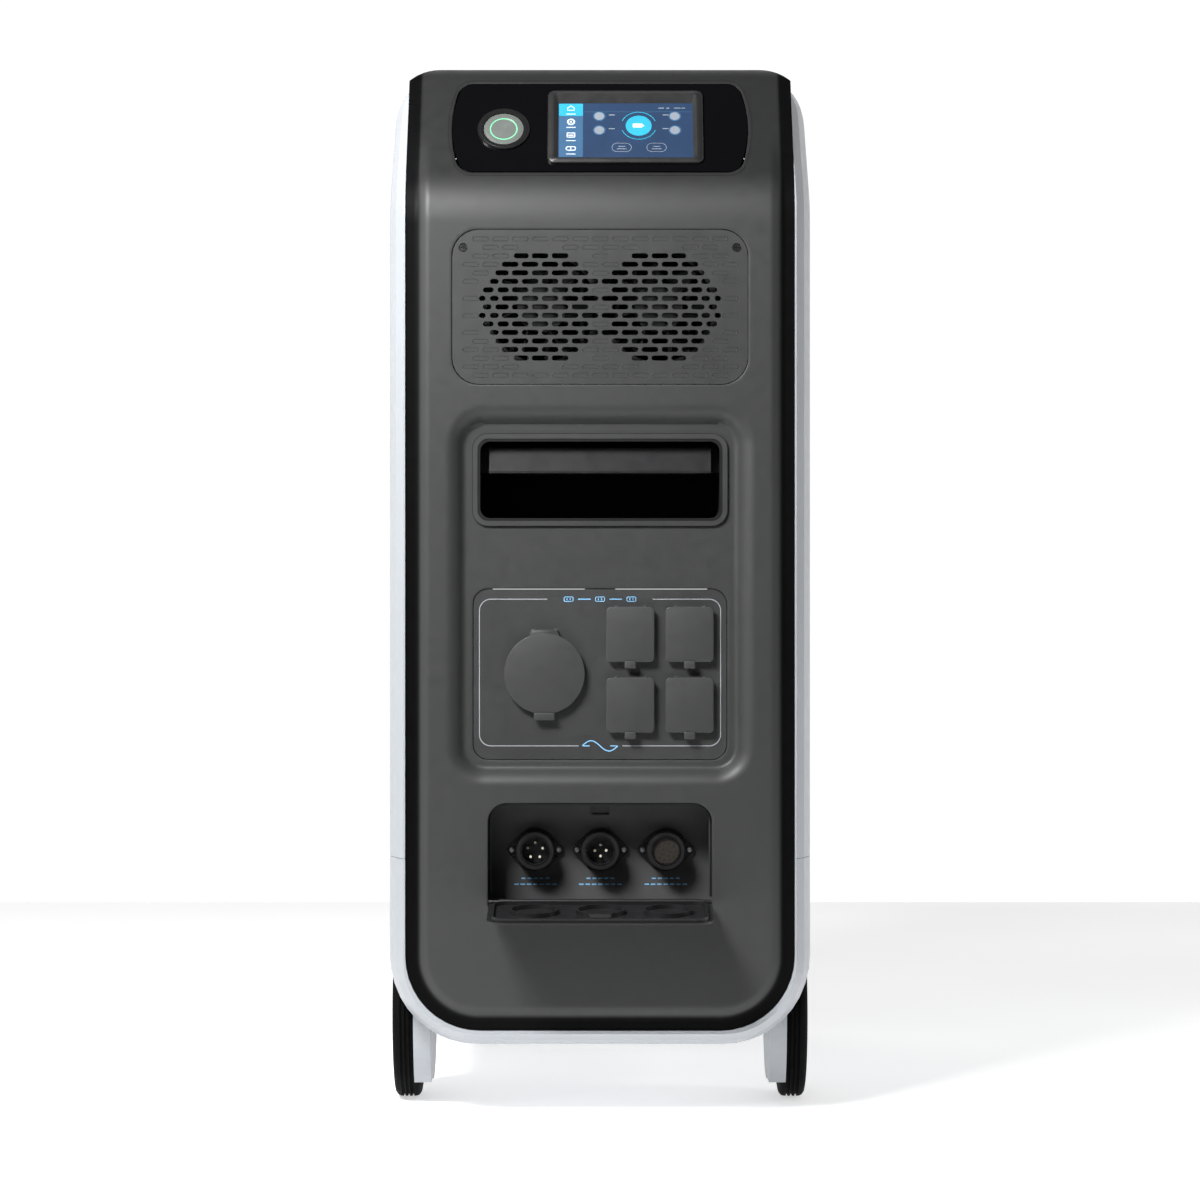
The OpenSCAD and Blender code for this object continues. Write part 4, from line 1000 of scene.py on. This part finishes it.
# ---------- softened edges on the CAD nodes that stay ----------
def soften(node, width, angle=35, segments=2):
    bevel = nodes[node].modifiers.new("softened_edges", "BEVEL")
    bevel.width = width * MM
    bevel.segments = segments
    bevel.limit_method = "ANGLE"
    bevel.angle_limit = radians(angle)
    bevel.harden_normals = False


# ---------- stage, light and camera ----------
FLOOR_X = 1.5                           # half of the floor's width
FLOOR_Y = (-0.8, 1.6)
FLOOR_GLOW = 0.6
DIM, BRIGHT = 0.05, 1.05                # strength of the surroundings in front and behind


def make_stage():
    mesh = bpy.data.meshes.new("floor")
    corners = [(-FLOOR_X, FLOOR_Y[0], 0), (FLOOR_X, FLOOR_Y[0], 0), (FLOOR_X, FLOOR_Y[1], 0),
               (-FLOOR_X, FLOOR_Y[1], 0)]
    mesh.from_pydata(corners, [], [(0, 1, 2, 3)])
    material, tree, shader = new_material("pale_floor")
    shade = ramp(tree, noise(tree, 2, 3), (0.86, 0.86, 0.86), (0.9, 0.9, 0.9))
    tree.links.new(shade, shader.inputs["Base Color"])
    tree.links.new(shade, shader.inputs["Emission Color"])
    shader.inputs["Emission Strength"].default_value = FLOOR_GLOW
    shader.inputs["Roughness"].default_value = 0.9
    shader.inputs["Specular IOR Level"].default_value = 0.1
    mesh.materials.append(material)
    floor = bpy.data.objects.new("floor", mesh)
    bpy.context.scene.collection.objects.link(floor)


def area_light(name, place, target, size, power, colour=(1, 1, 1)):
    data = bpy.data.lights.new(name, "AREA")
    data.shape = "RECTANGLE"
    data.size, data.size_y = size
    data.energy = power
    data.color = colour
    light = bpy.data.objects.new(name, data)
    bpy.context.scene.collection.objects.link(light)
    light.location = place
    light.rotation_euler = (Vector(target) - Vector(place)).to_track_quat("-Z", "Y").to_euler()


def make_world():
    """White surroundings behind the object, dimmer in front, so that the dark face keeps its shading."""
    world = bpy.data.worlds.new("studio")
    bpy.context.scene.world = world
    world.use_nodes = True
    tree = world.node_tree
    background = tree.nodes["Background"]
    coords = tree.nodes.new("ShaderNodeTexCoord")
    split = tree.nodes.new("ShaderNodeSeparateXYZ")
    tree.links.new(coords.outputs["Generated"], split.inputs["Vector"])
    fade = tree.nodes.new("ShaderNodeMapRange")
    fade.interpolation_type = "SMOOTHSTEP"
    fade.inputs["From Min"].default_value = 0.1
    fade.inputs["From Max"].default_value = 0.8
    fade.inputs["To Min"].default_value = DIM
    fade.inputs["To Max"].default_value = BRIGHT
    tree.links.new(split.outputs["Y"], fade.inputs["Value"])
    tree.links.new(fade.outputs["Result"], background.inputs["Strength"])
    background.inputs["Color"].default_value = (1, 1, 1, 1)


CAMERA_DISTANCE = 2.6                   # from the front face
CAMERA_HEIGHT = 0.361
LENS = 111.7


def make_camera():
    data = bpy.data.cameras.new("camera")
    data.lens = LENS
    data.sensor_width = 36.0
    data.clip_end = 100
    camera = bpy.data.objects.new("camera", data)
    bpy.context.scene.collection.objects.link(camera)
    camera.location = (0, FRONT * MM - CAMERA_DISTANCE, CAMERA_HEIGHT)
    camera.rotation_euler = (pi / 2, 0, 0)
    bpy.context.scene.camera = camera


# width of the rounded edge in millimetres for each CAD node that keeps its own shape
SOFT_EDGES = {
    1.6: ["side_panel_left", "side_panel_right", "base_shell"],
    1.0: ["handle_liner", "front_hub_left", "front_hub_right", "caster_wheel_left", "caster_wheel_right"],
    0.8: ["wheel_carrier_left", "wheel_carrier_right", "handle_grip", "brake_pedal_left",
          "brake_pedal_right"],
    0.5: ["input_flap", "input_tray", "caster_fork_left", "caster_fork_right", "caster_plates"],
}
for width, names in SOFT_EDGES.items():
    for name in names:
        soften(name, width)

make_stage()
make_world()
area_light("upper_key", (-0.55, -1.0, 1.15), (0, -0.25, 0.6), (0.5, 0.3), 31)
area_light("left_softbox", (-2.3, -1.2, 0.95), (0, 0, 0.5), (0.6, 1.4), 7)
area_light("right_softbox", (2.4, 0.0, 0.8), (0, 0, 0.4), (0.6, 1.6), 18)
make_camera()
bpy.context.scene.view_settings.view_transform = "Standard"
